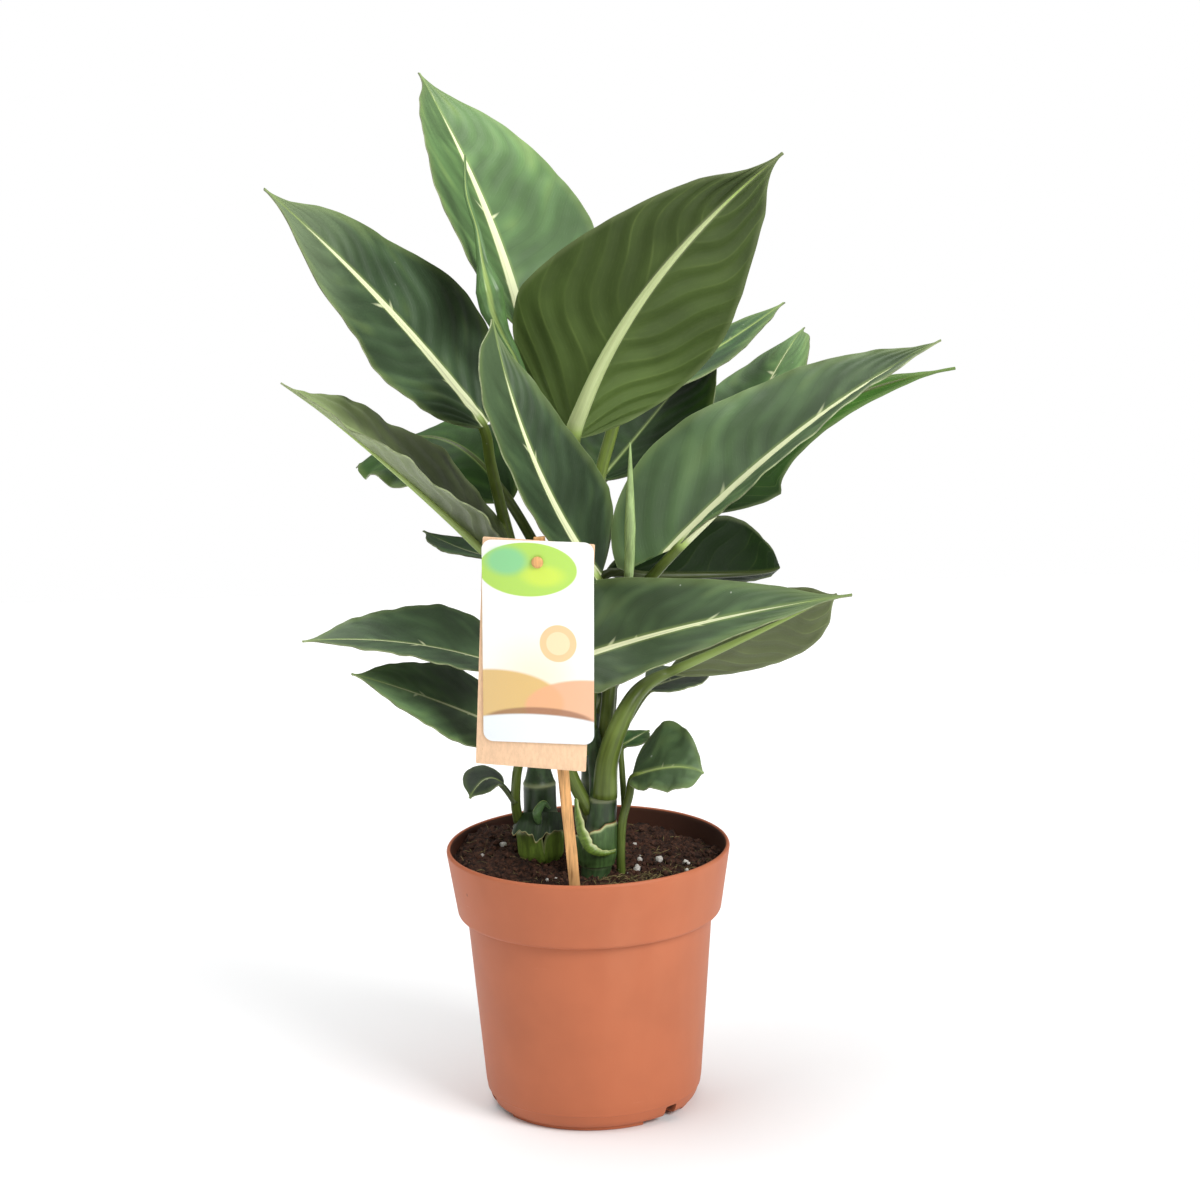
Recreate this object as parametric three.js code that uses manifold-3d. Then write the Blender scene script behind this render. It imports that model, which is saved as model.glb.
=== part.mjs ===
// A dieffenbachia in a round nursery pot, with its label on a stick.
// Millimetres, +Z up, origin on the pot's axis at the level of the floor.

import * as THREE from 'three';
import { mergeVertices } from 'three/addons/utils/BufferGeometryUtils.js';
import Module from 'manifold-3d';

const wasm = await Module();
wasm.setup();

// ---------------------------------------------------------------- driving dimensions

const GAP = 0.3;                    // clearance between neighbouring pieces

const POT_HEIGHT = 113;
const RIM_RADIUS = 60;
const BAND_BOTTOM = 84.2;           // lower edge of the rim band
const BAND_FOOT_RADIUS = 55.9;
const BODY_TOP_RADIUS = 52;
const CORNER_RADIUS = 46.1;         // body radius above the bevelled corner
const CORNER_HEIGHT = 10.6;
const WALL_FOOT_RADIUS = 42.8;
const FOOT_RING_RADIUS = 41.5;
const FOOT_RING_WIDTH = 3.5;
const FOOT_RING_HEIGHT = 2;
const WALL = 1.6;
const FLOOR_UNDERSIDE = 2.4;
const PAD_RADIUS = 14;              // flat pad under the middle of the floor
const POT_SIDES = 48;
const DRAIN_HOLES = 6;
const DRAIN_RADIUS = 3.5;
const DRAIN_CIRCLE = 27;
const NOTCHES = 3;
const NOTCH_BEARING = -44;          // degrees from +X, the notch right of the front
const NOTCH_WIDTH = 9;
const NOTCH_TOP = 6.6;
const FOOT_GAP_ANGLE = 34;          // degrees of foot ring missing at each notch

const SOIL_LEVEL = 106.5;
const SOIL_BOTTOM = 4.3;
const STEM_DEPTH = 95;              // height of the buried ends of the stems
const CRUMBS = 36;
const SOIL_SIDES = 40;

const BLADE_THICKNESS = 0.9;
const BLADE_STEPS = 10;             // divisions along a blade
const BLADE_RINGS = 2;              // divisions from midrib to margin
const MARGIN_WAVE = 0.035;          // height of the margin's waves, as a share of the half width
const MARGIN_WAVES = 3;             // waves along a margin
const LOBE_END = 0.24;              // where along the midrib a lobe's reach past the base has run out
const STALK_END = 0.35;             // how far up the midrib the thick stalk reaches
const TUBE_SIDES = 6;

const CARD_WIDTH = 45;
const FRONT_CARD_HEIGHT = 84;
const BACK_CARD_HEIGHT = 95;
const CARD_THICKNESS = 0.7;
const CARD_CORNER = 4;
const CARD_LEAN = 2.7;              // degrees the cards lean towards the front
const CARD_TURN = -8;               // degrees they are turned about the upright
const FRONT_CARD_SWING = 1.7;       // degrees each hangs askew on the peg
const BACK_CARD_SWING = 4;
const PEG_PLACE = new THREE.Vector3(-17, -62.2, 249);
const PEG_REACH = 1.6;              // from the front card's back face to the end of the peg, at the stick
const PEG_RADIUS = 1.2;
const PEG_BELOW_TOP = 8.5;
const STICK_FOOT = new THREE.Vector3(-5, -46, 97);
const STICK_TOP = new THREE.Vector3(-16.2, -60, 258.5);
const STICK_WIDTH = 4.6;
const STICK_DEPTH = 2.2;

// Stems: points up the axis, each with its radius.
const CANES = {
  cane_right: [[3, -24, STEM_DEPTH, 6.6], [3, -24, 108, 6.6], [6.4, -24, 138, 6.2], [5.6, -22, 146, 4.6],
    [4, -19, 158, 3.6], [3.4, -18, 168, 2.6]],
  cane_left: [[-20, 5, STEM_DEPTH, 7.4], [-20, 5, 108, 7.4], [-20, 5, 137, 7.2], [-20, 5, 146, 5],
    [-20, 5, 165, 4], [-20, 6, 188, 2.6]],
  cane_back: [[3, 20, STEM_DEPTH, 5.8], [3, 20, 108, 5.8], [3, 20, 150, 5.4], [2, 20, 190, 4.6],
    [2, 20, 226, 3]],
};

// One entry a leaf. base, mid and tip are the ends and the middle of its midrib, face is the way its
// upper side looks, half is the half width, and pairs give the right and the left half in turn: the
// angle each rises from flat, where along the midrib it is widest, how full it stays to the tip, its
// share of the half width and how slowly it widens from the base, and how far it reaches back past the
// base as a lobe. stalk and root are the radii of the petiole at the blade and at the stem, and petiole
// is its way down from one to the other.
const LEAVES = [
  { name: 'leaf_top', base: [-22, 20, 330], mid: [-38, 48, 381], tip: [-64, 96, 431],
    face: [0.62, -0.52, 0.6], half: 44, fold: [22, 22], widest: [0.34, 0.42], full: [1.9, 1.5],
    share: [1.04, 0.93], stalk: 2.3, root: 3.2,
    petiole: [[-21, 22, 308], [-14, 24, 268], [-4, 23, 235], [1, 21, 214]] },
  { name: 'leaf_upper_right', base: [-2, -5, 288], mid: [29, -32, 351], tip: [82, -70, 409],
    face: [0.24, 0.94, 0.24], half: 44, fold: [30, 30], widest: [0.26, 0.42], full: [1.1, 1.6],
    share: [1.16, 0.96], stalk: 3.6, root: 3.4,
    petiole: [[-2, -2, 265], [0, 5, 235], [2, 13, 205], [2, 18, 190]] },
  { name: 'leaf_upper_left', base: [-38, 0, 293], mid: [-78, -6, 346], tip: [-121, -38, 397],
    face: [0.76, -0.46, 0.47], half: 42, fold: [9, 9], widest: [0.3, 0.4], full: [1.25, 1.9],
    stalk: 2.2, root: 2.8,
    petiole: [[-36.3, 3, 278], [-33, 9.5, 259], [-28, 13.5, 235], [-22, 11, 200], [-20, 7, 178]] },
  { name: 'leaf_front', base: [7.2, -14, 230.3], mid: [-17.5, -34, 283], tip: [-33, -31, 342],
    face: [0.71, -0.43, 0.38], half: 32.1, fold: [22, 13.8], widest: [0.23, 0.7], full: [1.65, 2.6],
    share: [0.93, 0.95], stalk: 2.5, root: 3,
    petiole: [[9, -5, 217], [6, -5, 196], [2, -12, 175], [3, -19, 157]] },
  { name: 'leaf_large_right', base: [39, -25, 245], mid: [92, -26, 293], tip: [146, -40, 330],
    face: [-0.39, -0.27, 0.88], half: 43.4, fold: [22, 32], widest: [0.36, 0.18], full: [1.3, 1.28],
    shoulder: [1.2, 0.74], lobe: [0, 26], stalk: 2.8, root: 3.2,
    petiole: [[28, -15, 230], [15, -2, 211], [12, -3, 194], [9, -12, 170], [6, -20, 153]] },
  { name: 'leaf_under_large', base: [10, 2, 229], mid: [70, 19, 224], tip: [84, 44, 222],
    face: [-0.6, 0.8, 0.07], half: 27.7, fold: [37, 50], widest: [0.45, 0.36], full: [1.4, 1.57],
    share: [0.95, 0.3], stalk: 2, root: 2.6,
    petiole: [[11, 4, 214], [12, 6, 192], [11, 9, 170], [7, 14, 152]] },
  { name: 'leaf_lower_right', base: [-8.3, -25, 197.6], mid: [45, -45.7, 217.4], tip: [107, -73, 234.5],
    face: [-0.33, -0.77, 0.65], half: 29.4, fold: [18, 14.7], widest: [0.173, 0.194], full: [1.2, 1.16],
    share: [0.78, 1], shoulder: [0.8, 0.65], stalk: 2.6, root: 3,
    petiole: [[-13, -27, 176], [-6, -26, 150], [1, -24, 134]] },
  { name: 'leaf_lower_right_back', base: [35, -10, 189], mid: [74, -18, 208], tip: [105, -20, 223],
    face: [0.22, 0.96, -0.15], half: 29, fold: [60, 60], widest: [0.5, 0.5], full: [2, 2.4],
    share: [0.85, 1], stalk: 2.6, root: 5.2,
    petiole: [[28, -15, 187], [21.5, -21, 183], [15, -25, 173], [9, -27, 157], [7.5, -27, 141]] },
  { name: 'leaf_low_left', base: [-26, -8, 190], mid: [-69, -15, 205], tip: [-115, -25, 210],
    face: [0.27, -0.07, 0.96], half: 40, fold: [10, 10], widest: [0.34, 0.34], full: [1.3, 1.3],
    stalk: 2.2, root: 2.6,
    petiole: [[-25, -4, 176], [-22, 2, 158]] },
  { name: 'leaf_lowest_left', base: [-26, -14, 164], mid: [-61, -20, 182], tip: [-95, -30, 197],
    face: [0.46, -0.19, 0.87], half: 33, fold: [4, 4], widest: [0.4, 0.42], full: [1.3, 1.5],
    stalk: 1.9, root: 2.2,
    petiole: [[-29, -9, 147], [-30, -4, 133], [-29.1, 1, 123.5]] },
  { name: 'leaf_folded_left', base: [-28, -14, 234], mid: [-73, -22, 279], tip: [-118, -36, 319],
    face: [0.69, 0.04, 0.72], half: 40, fold: [20, 20], widest: [0.36, 0.36], full: [1.6, 1.3],
    stalk: 2.3, root: 2.6,
    petiole: [[-27, -9, 210], [-22, 0, 184], [-20, 3, 168]] },
  { name: 'leaf_behind_folded', base: [-29, 33, 255], mid: [-60, 56, 279], tip: [-97, 88, 261],
    face: [0.05, -0.31, 0.95], half: 36, fold: [-11, -11], widest: [0.72, 0.5], full: [3, 2.2],
    stalk: 2.2, root: 2.6,
    petiole: [[-16, 33, 229], [-4, 27, 200], [1, 22, 180]] },
  { name: 'leaf_back_slim', base: [19, 26, 297], mid: [59, 70, 311], tip: [93, 115, 325],
    face: [-0.16, -0.17, 0.97], half: 24, fold: [4, 4], widest: [0.4, 0.4], full: [1, 1.2],
    share: [0.75, 1], stalk: 2.6, root: 2.6,
    petiole: [[13, 21, 281], [8, 18, 262], [7, 18, 240], [4, 19, 212]] },
  { name: 'leaf_back_right', base: [58, 42, 253], mid: [81, 68, 293], tip: [101, 105, 315],
    face: [-0.62, -0.32, 0.71], half: 40, fold: [5, 5], widest: [0.4, 0.4], full: [1.6, 1.6],
    share: [0.65, 1], stalk: 2.3, root: 2.8,
    petiole: [[44, 40, 228], [22, 32, 200], [6, 23, 184]] },
  { name: 'leaf_far_right', base: [46, 26, 249], mid: [94, 28, 288], tip: [161, 45, 305],
    face: [-0.13, 0.94, -0.31], half: 30, fold: [30, 45], widest: [0.25, 0.3], full: [0.8, 0.5],
    share: [0.6, 1], stalk: 2.2, root: 2.8,
    petiole: [[43, 33, 230], [22, 23, 196], [6, 18, 165]] },
  { name: 'leaf_middle', base: [9, 32, 263], mid: [31, 54, 284], tip: [60, 92, 311],
    face: [-0.43, -0.29, 0.85], half: 38, fold: [4, 4], widest: [0.4, 0.4], full: [1.6, 1.6],
    stalk: 2.3, root: 2.6,
    petiole: [[9, 31, 245], [6, 27, 225], [3, 22, 205]] },
  { name: 'leaf_small_left', base: [-31, 22, 232], mid: [-49, 34, 234], tip: [-67, 48, 240],
    face: [0.19, 0.01, 0.98], half: 20, fold: [6, 6], widest: [0.4, 0.4], full: [1.6, 1.6],
    stalk: 1.5, root: 1.8,
    petiole: [[-26, 19, 212], [-21, 12, 188], [-20, 8, 172]] },
  { name: 'leaf_foot_right', base: [19, -26, 149], mid: [36, -38, 156], tip: [48, -41, 154],
    face: [-0.2, -0.5, 0.88], half: 23, fold: [10, 14], widest: [0.6, 0.36], full: [2.5, 1.25],
    share: [0.66, 1], shoulder: [0.5, 0.45], stalk: 1.7, root: 1.9,
    petiole: [[17.5, -27, 141], [14.8, -27.5, 132], [13.6, -25, 119], [13.6, -22, STEM_DEPTH]] },
  { name: 'leaf_foot_tiny', base: [15, -9, 157.5], mid: [21, -5, 160], tip: [27, -1, 162],
    face: [-0.27, -0.17, 0.95], half: 10, fold: [6, 6], widest: [0.4, 0.4], full: [1.6, 1.6],
    stalk: 1.2, root: 1.4,
    petiole: [[15, -15, 149], [15.4, -22, 140], [15.6, -27, 134.5]] },
  { name: 'leaf_small_back', base: [27, 10, 177], mid: [40, 15, 180], tip: [53, 24, 180],
    face: [-0.1, -0.09, 0.99], half: 18, fold: [6, 6], widest: [0.4, 0.4], full: [1.6, 1.6],
    stalk: 1.5, root: 1.8,
    petiole: [[17, 17, 160], [6, 19, 142]] },
  { name: 'leaf_foot_left', base: [-35, -5, 141], mid: [-42, -6, 144], tip: [-49, -10, 137],
    face: [0.04, -0.01, 1], half: 15, fold: [6, 6], widest: [0.5, 0.5], full: [2, 2],
    stalk: 1.2, root: 1.3,
    petiole: [[-32.5, -5.5, 137], [-30, -6.5, 133]] },
];

// Rolled young leaves: points up the middle, each with its radius.
const SPEARS = {
  spear_top: [[2, 19, 229.5, 2.4], [-4, 14, 255, 2.4], [-15, 8, 290, 2.2], [-24, 2, 320, 2],
    [-29.5, -0.5, 332, 3], [-33, -3.4, 342, 5.2], [-34.3, -3.8, 350, 5.6], [-36.5, -1.5, 361, 2.6],
    [-38.5, 2, 374, 1.3], [-42.5, 9, 388, 1.1], [-43, 16, 403, 0.4]],
  spear_right: [[16.9, -10, 217, 1.4], [17.5, -13.5, 223.5, 1.6], [19.5, -19, 233, 2.4], [20.4, -30, 255, 2.8],
    [20.8, -33, 272, 1.8], [21.2, -35, 291, 0.4]],
  shoot_foot: [[-20.5, 1, 124.5, 1.4], [-20.5, -6.5, 125.5, 1.7], [-21, -9, 130, 2.5], [-18, -9.5, 134, 1.6],
    [-15.5, -9, 131.5, 0.5]],
};

// Cut leaf bases that clasp a cane: place, height and radii in millimetres, angles in degrees.
const SHEATHS = {
  sheath_left: { at: [-20, 5], bottom: 106, top: 122, inner: 7.9, outer: 10.2, flare: 0.6,
    slant: 14, bearing: -70 },
  sheath_right: { at: [3.4, -24], bottom: 112, top: 131, inner: 7.1, outer: 8.6, flare: 1,
    slant: 24, bearing: -20 },
};

// ---------------------------------------------------------------- materials

const finish = (color, roughness) => new THREE.MeshStandardMaterial({ color, roughness, metalness: 0 });
const TERRACOTTA = finish(0xc2734f, 0.5);
const PEAT = finish(0x2e211b, 0.95);
const STEM_GREEN = finish(0x55722f, 0.5);
const LEAF_GREEN = finish(0x2f5a2c, 0.45);
const YOUNG_GREEN = finish(0x7f9e4e, 0.5);
const SHEATH_GREEN = finish(0x8aa052, 0.6);
const WHITE_CARD = finish(0xf2f0ea, 0.5);
const KRAFT_CARD = finish(0xe8c39c, 0.8);
const STICK_WOOD = finish(0xb98a5c, 0.75);

// ---------------------------------------------------------------- solids

function toSolid(geometry) {
  const bare = geometry.clone();
  bare.deleteAttribute('normal');
  bare.deleteAttribute('uv');
  const merged = mergeVertices(bare, 1e-4);
  return new wasm.Manifold(new wasm.Mesh({
    numProp: 3,
    vertProperties: new Float32Array(merged.attributes.position.array),
    triVerts: new Uint32Array(merged.index.array),
  }));
}

function toGeometry(solid) {
  const mesh = solid.getMesh();
  const geometry = new THREE.BufferGeometry();
  geometry.setAttribute('position', new THREE.BufferAttribute(new Float32Array(mesh.vertProperties), 3));
  geometry.setIndex(new THREE.BufferAttribute(new Uint32Array(mesh.triVerts), 1));
  geometry.computeVertexNormals();
  return geometry;
}

// The biggest body of a solid that a cut may have left in pieces.
function mainBody(solid) {
  return solid.decompose().sort((a, b) => b.volume() - a.volume())[0];
}

function indexed(points, faces) {
  const geometry = new THREE.BufferGeometry();
  const flat = points.flatMap((p) => [p.x, p.y, p.z]);
  geometry.setAttribute('position', new THREE.Float32BufferAttribute(flat, 3));
  geometry.setIndex(faces.flat());
  return geometry;
}

const vec = ([x, y, z]) => new THREE.Vector3(x, y, z);
const radians = THREE.MathUtils.degToRad;

// ---------------------------------------------------------------- tubes

// A closed tube along stations [x, y, z, radius], with the way smoothed between them.
function taperedTube(stations, grow = 0, steps = 2 * (stations.length - 1)) {
  const path = new THREE.CatmullRomCurve3(stations.map(vec), false, 'centripetal');
  const frames = path.computeFrenetFrames(steps, false);
  const last = stations.length - 1;
  const points = [];
  for (let i = 0; i <= steps; i++) {
    const u = i / steps;
    const t = path.getUtoTmapping(u) * last;
    const k = Math.min(Math.floor(t), last - 1);
    const radius = THREE.MathUtils.lerp(stations[k][3], stations[k + 1][3], t - k) + grow;
    const centre = path.getPointAt(u);
    for (let j = 0; j < TUBE_SIDES; j++) {
      const a = (2 * Math.PI * j) / TUBE_SIDES;
      points.push(centre.clone()
        .addScaledVector(frames.normals[i], radius * Math.cos(a))
        .addScaledVector(frames.binormals[i], radius * Math.sin(a)));
    }
  }
  const faces = [];
  for (let i = 0; i < steps; i++) {
    for (let j = 0; j < TUBE_SIDES; j++) {
      const a = i * TUBE_SIDES + j;
      const b = i * TUBE_SIDES + ((j + 1) % TUBE_SIDES);
      faces.push([a, b, b + TUBE_SIDES], [a, b + TUBE_SIDES, a + TUBE_SIDES]);
    }
  }
  const top = steps * TUBE_SIDES;
  for (let j = 1; j < TUBE_SIDES - 1; j++) {
    faces.push([0, j + 1, j], [top, top + j, top + j + 1]);
  }
  return indexed(points, faces);
}

// ---------------------------------------------------------------- leaves

const smooth = (a, b, x) => THREE.MathUtils.smoothstep(x, a, b);

// Half width of a blade at t along its midrib, as a share of the widest.
function outline(t, widest, full, shoulder) {
  if (t < widest) return Math.sin((Math.PI / 2) * (t / widest) ** shoulder);
  const u = (t - widest) / (1 - widest);
  return (1 - u ** full) * (1 - 0.6 * smooth(0.72, 1, u));
}

// The midrib is the parabola through base, mid and tip.
function midrib(leaf) {
  const base = vec(leaf.base);
  const tip = vec(leaf.tip);
  const control = vec(leaf.mid).multiplyScalar(2).addScaledVector(base, -0.5).addScaledVector(tip, -0.5);
  return new THREE.QuadraticBezierCurve3(base, control, tip);
}

// A point of the blade at t along the midrib and s across it, from -1 on the left to 1 on the right,
// raised by lift along the blade's own normal.
function bladePoint(leaf, rib, t, s, lift) {
  const along = rib.getTangent(t);
  const up = vec(leaf.face).normalize();
  up.addScaledVector(along, -up.dot(along)).normalize();
  const side = new THREE.Vector3().crossVectors(along, up);
  const k = s < 0 ? 1 : 0;
  const share = leaf.share ? leaf.share[k] : 1;
  const shoulder = leaf.shoulder ? leaf.shoulder[k] : 0.65;
  const width = Math.max(leaf.half * share * outline(t, leaf.widest[k], leaf.full[k], shoulder), 0.6);
  const fold = radians(leaf.fold[k]) * (1 - 0.2 * t);
  const q = Math.abs(s);
  const wave = MARGIN_WAVE * leaf.half * q * q * Math.sqrt(Math.max(Math.sin(Math.PI * t), 0))
    * Math.sin(2 * Math.PI * (MARGIN_WAVES * t + 0.1 + 0.35 * k));
  const across = Math.sign(s) * (width * q * Math.cos(fold) - lift * Math.sin(fold) * Math.min(4 * q, 1));
  const raise = width * q * Math.sin(fold) + wave + lift * Math.cos(fold * Math.min(4 * q, 1));
  const lobe = leaf.lobe ? leaf.lobe[k] : 0;
  const back = lobe * q * smooth(-0.002, 0.018, t) * (1 - smooth(0.02, LOBE_END, t));
  return rib.getPoint(t).addScaledVector(side, across).addScaledVector(up, raise).addScaledVector(along, -back);
}

function bladeSolid(leaf) {
  const rib = midrib(leaf);
  const columns = 2 * BLADE_RINGS + 1;
  const rows = BLADE_STEPS + 1;
  const points = [];
  for (const lift of [BLADE_THICKNESS / 2, -BLADE_THICKNESS / 2]) {
    for (let i = 0; i < rows; i++) {
      const u = i / BLADE_STEPS;
      const t = u - 0.05 * Math.sin(2 * Math.PI * u);
      for (let j = 0; j < columns; j++) points.push(bladePoint(leaf, rib, t, j / BLADE_RINGS - 1, lift));
    }
  }
  const under = rows * columns;
  const faces = [];
  for (let i = 0; i < BLADE_STEPS; i++) {
    for (let j = 0; j < columns - 1; j++) {
      const a = i * columns + j;
      const [b, c, d] = [a + 1, a + columns + 1, a + columns];
      faces.push([a, b, c], [a, c, d], [under + a, under + c, under + b], [under + a, under + d, under + c]);
    }
  }
  const edge = [];
  for (let j = 0; j < columns - 1; j++) edge.push(j);
  for (let i = 0; i < BLADE_STEPS; i++) edge.push(i * columns + columns - 1);
  for (let j = columns - 1; j > 0; j--) edge.push(BLADE_STEPS * columns + j);
  for (let i = BLADE_STEPS; i > 0; i--) edge.push(i * columns);
  edge.forEach((a, n) => {
    const b = edge[(n + 1) % edge.length];
    faces.push([b, a, under + a], [b, under + a, under + b]);
  });
  const solid = toSolid(indexed(points, faces));
  return solid.volume() > 0 ? solid : toSolid(indexed(points, faces.map(([a, b, c]) => [a, c, b])));
}

// The petiole and the midrib are one tapering tube, which the blade grows from.
function stalkStations(leaf) {
  const rib = midrib(leaf);
  const count = leaf.petiole.length;
  const radius = (i) => THREE.MathUtils.lerp(leaf.stalk, leaf.root, (i + 1) / count);
  const stations = leaf.petiole.map((p, i) => [...p, radius(i)]);
  stations.reverse();
  for (const t of [0, STALK_END]) {
    const p = bladePoint(leaf, rib, t, 0, -0.35 * leaf.stalk * (1 - t));
    stations.push([p.x, p.y, p.z, leaf.stalk * (1 - 0.85 * t)]);
  }
  return stations;
}

// A leaf in one solid, its stalk cut clear of what stands beside it.
function leafSolid(leaf, neighbours) {
  const stalk = clearOf(toSolid(taperedTube(stalkStations(leaf))), neighbours);
  return bladeSolid(leaf).add(mainBody(stalk));
}

// ---------------------------------------------------------------- pot

function lathe(profile, sides) {
  const geometry = new THREE.LatheGeometry(profile.map(([r, z]) => new THREE.Vector2(r, z)), sides);
  return geometry.rotateX(Math.PI / 2);
}

function drum(radius, z0, z1, sides) {
  return new THREE.CylinderGeometry(radius, radius, z1 - z0, sides).rotateX(Math.PI / 2)
    .translate(0, 0, (z0 + z1) / 2);
}

function potSolid() {
  const step = (BODY_TOP_RADIUS - CORNER_RADIUS) / (BAND_BOTTOM - CORNER_HEIGHT);
  const floorTop = FLOOR_UNDERSIDE + WALL;
  const footInner = FOOT_RING_RADIUS - FOOT_RING_WIDTH;
  const profile = [
    [0, 0], [PAD_RADIUS, 0], [PAD_RADIUS, FLOOR_UNDERSIDE], [footInner, FLOOR_UNDERSIDE], [footInner, 0],
    [FOOT_RING_RADIUS, 0], [FOOT_RING_RADIUS, FOOT_RING_HEIGHT], [WALL_FOOT_RADIUS, FOOT_RING_HEIGHT],
    [WALL_FOOT_RADIUS + 1.2, FOOT_RING_HEIGHT + 1.6], [CORNER_RADIUS - 0.4, CORNER_HEIGHT - 2],
    [CORNER_RADIUS, CORNER_HEIGHT], [BODY_TOP_RADIUS, BAND_BOTTOM], [BAND_FOOT_RADIUS - 0.9, BAND_BOTTOM],
    [BAND_FOOT_RADIUS, BAND_BOTTOM + 1.2], [RIM_RADIUS, POT_HEIGHT - 1], [RIM_RADIUS - 0.6, POT_HEIGHT],
    [RIM_RADIUS - WALL + 0.2, POT_HEIGHT], [RIM_RADIUS - WALL - 0.4, POT_HEIGHT - 1.2],
    [BAND_FOOT_RADIUS - WALL, BAND_BOTTOM + 2.4], [BODY_TOP_RADIUS - WALL, BAND_BOTTOM - 1.6],
    [CORNER_RADIUS - WALL - step, CORNER_HEIGHT], [WALL_FOOT_RADIUS - WALL + 0.6, floorTop + 1],
    [WALL_FOOT_RADIUS - WALL, floorTop], [0, floorTop],
  ];
  let pot = toSolid(lathe(profile, POT_SIDES));
  for (let k = 0; k < DRAIN_HOLES; k++) {
    const a = (2 * Math.PI * (k + 0.5)) / DRAIN_HOLES;
    const hole = drum(DRAIN_RADIUS, -1, floorTop + 1, 8);
    hole.translate(DRAIN_CIRCLE * Math.cos(a), DRAIN_CIRCLE * Math.sin(a), 0);
    pot = pot.subtract(toSolid(hole));
  }
  for (let k = 0; k < NOTCHES; k++) {
    const bearing = radians(NOTCH_BEARING + (360 * k) / NOTCHES);
    pot = pot.subtract(notchTool(bearing)).subtract(footGapTool(bearing));
  }
  return pot;
}

// A tapering slot through the corner of the wall.
function notchTool(bearing) {
  const half = NOTCH_WIDTH / 2;
  const shape = new THREE.Shape();
  shape.moveTo(-half, -1);
  shape.lineTo(half, -1);
  shape.lineTo(half - 0.6, NOTCH_TOP - 1);
  shape.lineTo(half - 2, NOTCH_TOP);
  shape.lineTo(2 - half, NOTCH_TOP);
  shape.lineTo(0.6 - half, NOTCH_TOP - 1);
  const tool = new THREE.ExtrudeGeometry(shape, { depth: 12, bevelEnabled: false });
  tool.rotateX(Math.PI / 2).rotateZ(Math.PI / 2);
  tool.translate(WALL_FOOT_RADIUS - 5, 0, 0).rotateZ(bearing);
  return toSolid(tool);
}

// A wedge that leaves the foot ring out beside a notch.
function footGapTool(bearing) {
  const half = radians(FOOT_GAP_ANGLE) / 2;
  const shape = new THREE.Shape();
  shape.absarc(0, 0, FOOT_RING_RADIUS - FOOT_RING_WIDTH - 1, -half, half, false);
  shape.absarc(0, 0, FOOT_RING_RADIUS + 4, half, -half, true);
  const depth = FOOT_RING_HEIGHT + 1;
  const tool = new THREE.ExtrudeGeometry(shape, { depth, bevelEnabled: false, curveSegments: 6 });
  return toSolid(tool.translate(0, 0, -1).rotateZ(bearing));
}

// ---------------------------------------------------------------- soil

// Seeded random numbers in 0..1.
function dice(seed) {
  let state = seed;
  return () => {
    state = (state * 16807) % 2147483647;
    return state / 2147483647;
  };
}

// Height of the soil, heaped at the left back and low at the right back.
function soilHeight(x, y) {
  const heap = 6 * Math.exp(-((x + 40) ** 2 + (y - 30) ** 2) / 260);
  const dip = -3.2 * Math.exp(-((x - 34) ** 2 + (y - 24) ** 2) / 900);
  const rough = 0.7 * Math.sin(0.31 * x + 1) * Math.sin(0.27 * y) + 0.4 * Math.sin(0.9 * x - 0.6 * y);
  return SOIL_LEVEL + heap + dip + rough + 0.02 * Math.max(-y, 0);
}

function soilSolid(stems) {
  const slack = WALL + GAP;
  const band = (z) => THREE.MathUtils.mapLinear(z, BAND_BOTTOM + 2.4, POT_HEIGHT - 1.2,
    BAND_FOOT_RADIUS - slack, RIM_RADIUS - slack - 0.4);
  const rim = band(SOIL_LEVEL - 3);
  const profile = [
    [0, SOIL_BOTTOM], [WALL_FOOT_RADIUS - slack - 0.4, SOIL_BOTTOM],
    [CORNER_RADIUS - slack - 0.4, CORNER_HEIGHT], [BODY_TOP_RADIUS - slack - 0.1, BAND_BOTTOM - 1.6],
    [BAND_FOOT_RADIUS - slack - 0.1, BAND_BOTTOM + 2.4], [rim, SOIL_LEVEL - 3],
    [rim - 0.2, SOIL_LEVEL - 1], [50, SOIL_LEVEL], [40, SOIL_LEVEL], [30, SOIL_LEVEL], [19, SOIL_LEVEL],
    [9, SOIL_LEVEL], [0, SOIL_LEVEL],
  ];
  const geometry = lathe(profile, SOIL_SIDES);
  const place = geometry.attributes.position;
  for (let i = 0; i < place.count; i++) {
    if (place.getZ(i) < SOIL_LEVEL - 1.5) continue;
    const [x, y] = [place.getX(i), place.getY(i)];
    const lift = Math.hypot(x, y) > rim - 1 ? 0.8 : 1;
    place.setZ(i, SOIL_LEVEL + (soilHeight(x, y) - SOIL_LEVEL) * lift);
  }
  let soil = toSolid(geometry);
  const roll = dice(77);
  for (let k = 0; k < CRUMBS; k++) {
    const a = 2 * Math.PI * roll();
    const r = 50 * Math.sqrt(roll());
    const size = 1.2 + 1.3 * roll();
    const [x, y] = [r * Math.cos(a), r * Math.sin(a)];
    const crumb = new THREE.OctahedronGeometry(size).rotateX(roll() * 3).rotateZ(roll() * 3);
    soil = soil.add(toSolid(crumb.translate(x, y, soilHeight(x, y) + 0.1)));
  }
  for (const stem of stems) soil = soil.subtract(stem);
  return mainBody(soil);
}

// ---------------------------------------------------------------- sheaths

// A flaring collar with a slanting top.
function collar({ at, bottom, top, inner, outer, flare, slant, bearing }) {
  const ring = lathe([[inner, bottom], [outer - 1.4, bottom], [outer, bottom + 3], [outer + flare, top],
    [inner + flare, top], [inner, top - 4], [inner, bottom]], 20);
  const above = new THREE.BoxGeometry(60, 60, 30).translate(0, 0, 15).rotateY(-radians(slant));
  above.rotateZ(radians(bearing)).translate(0, 0, top - 3);
  return toSolid(ring).subtract(toSolid(above)).translate(...at, 0);
}

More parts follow.
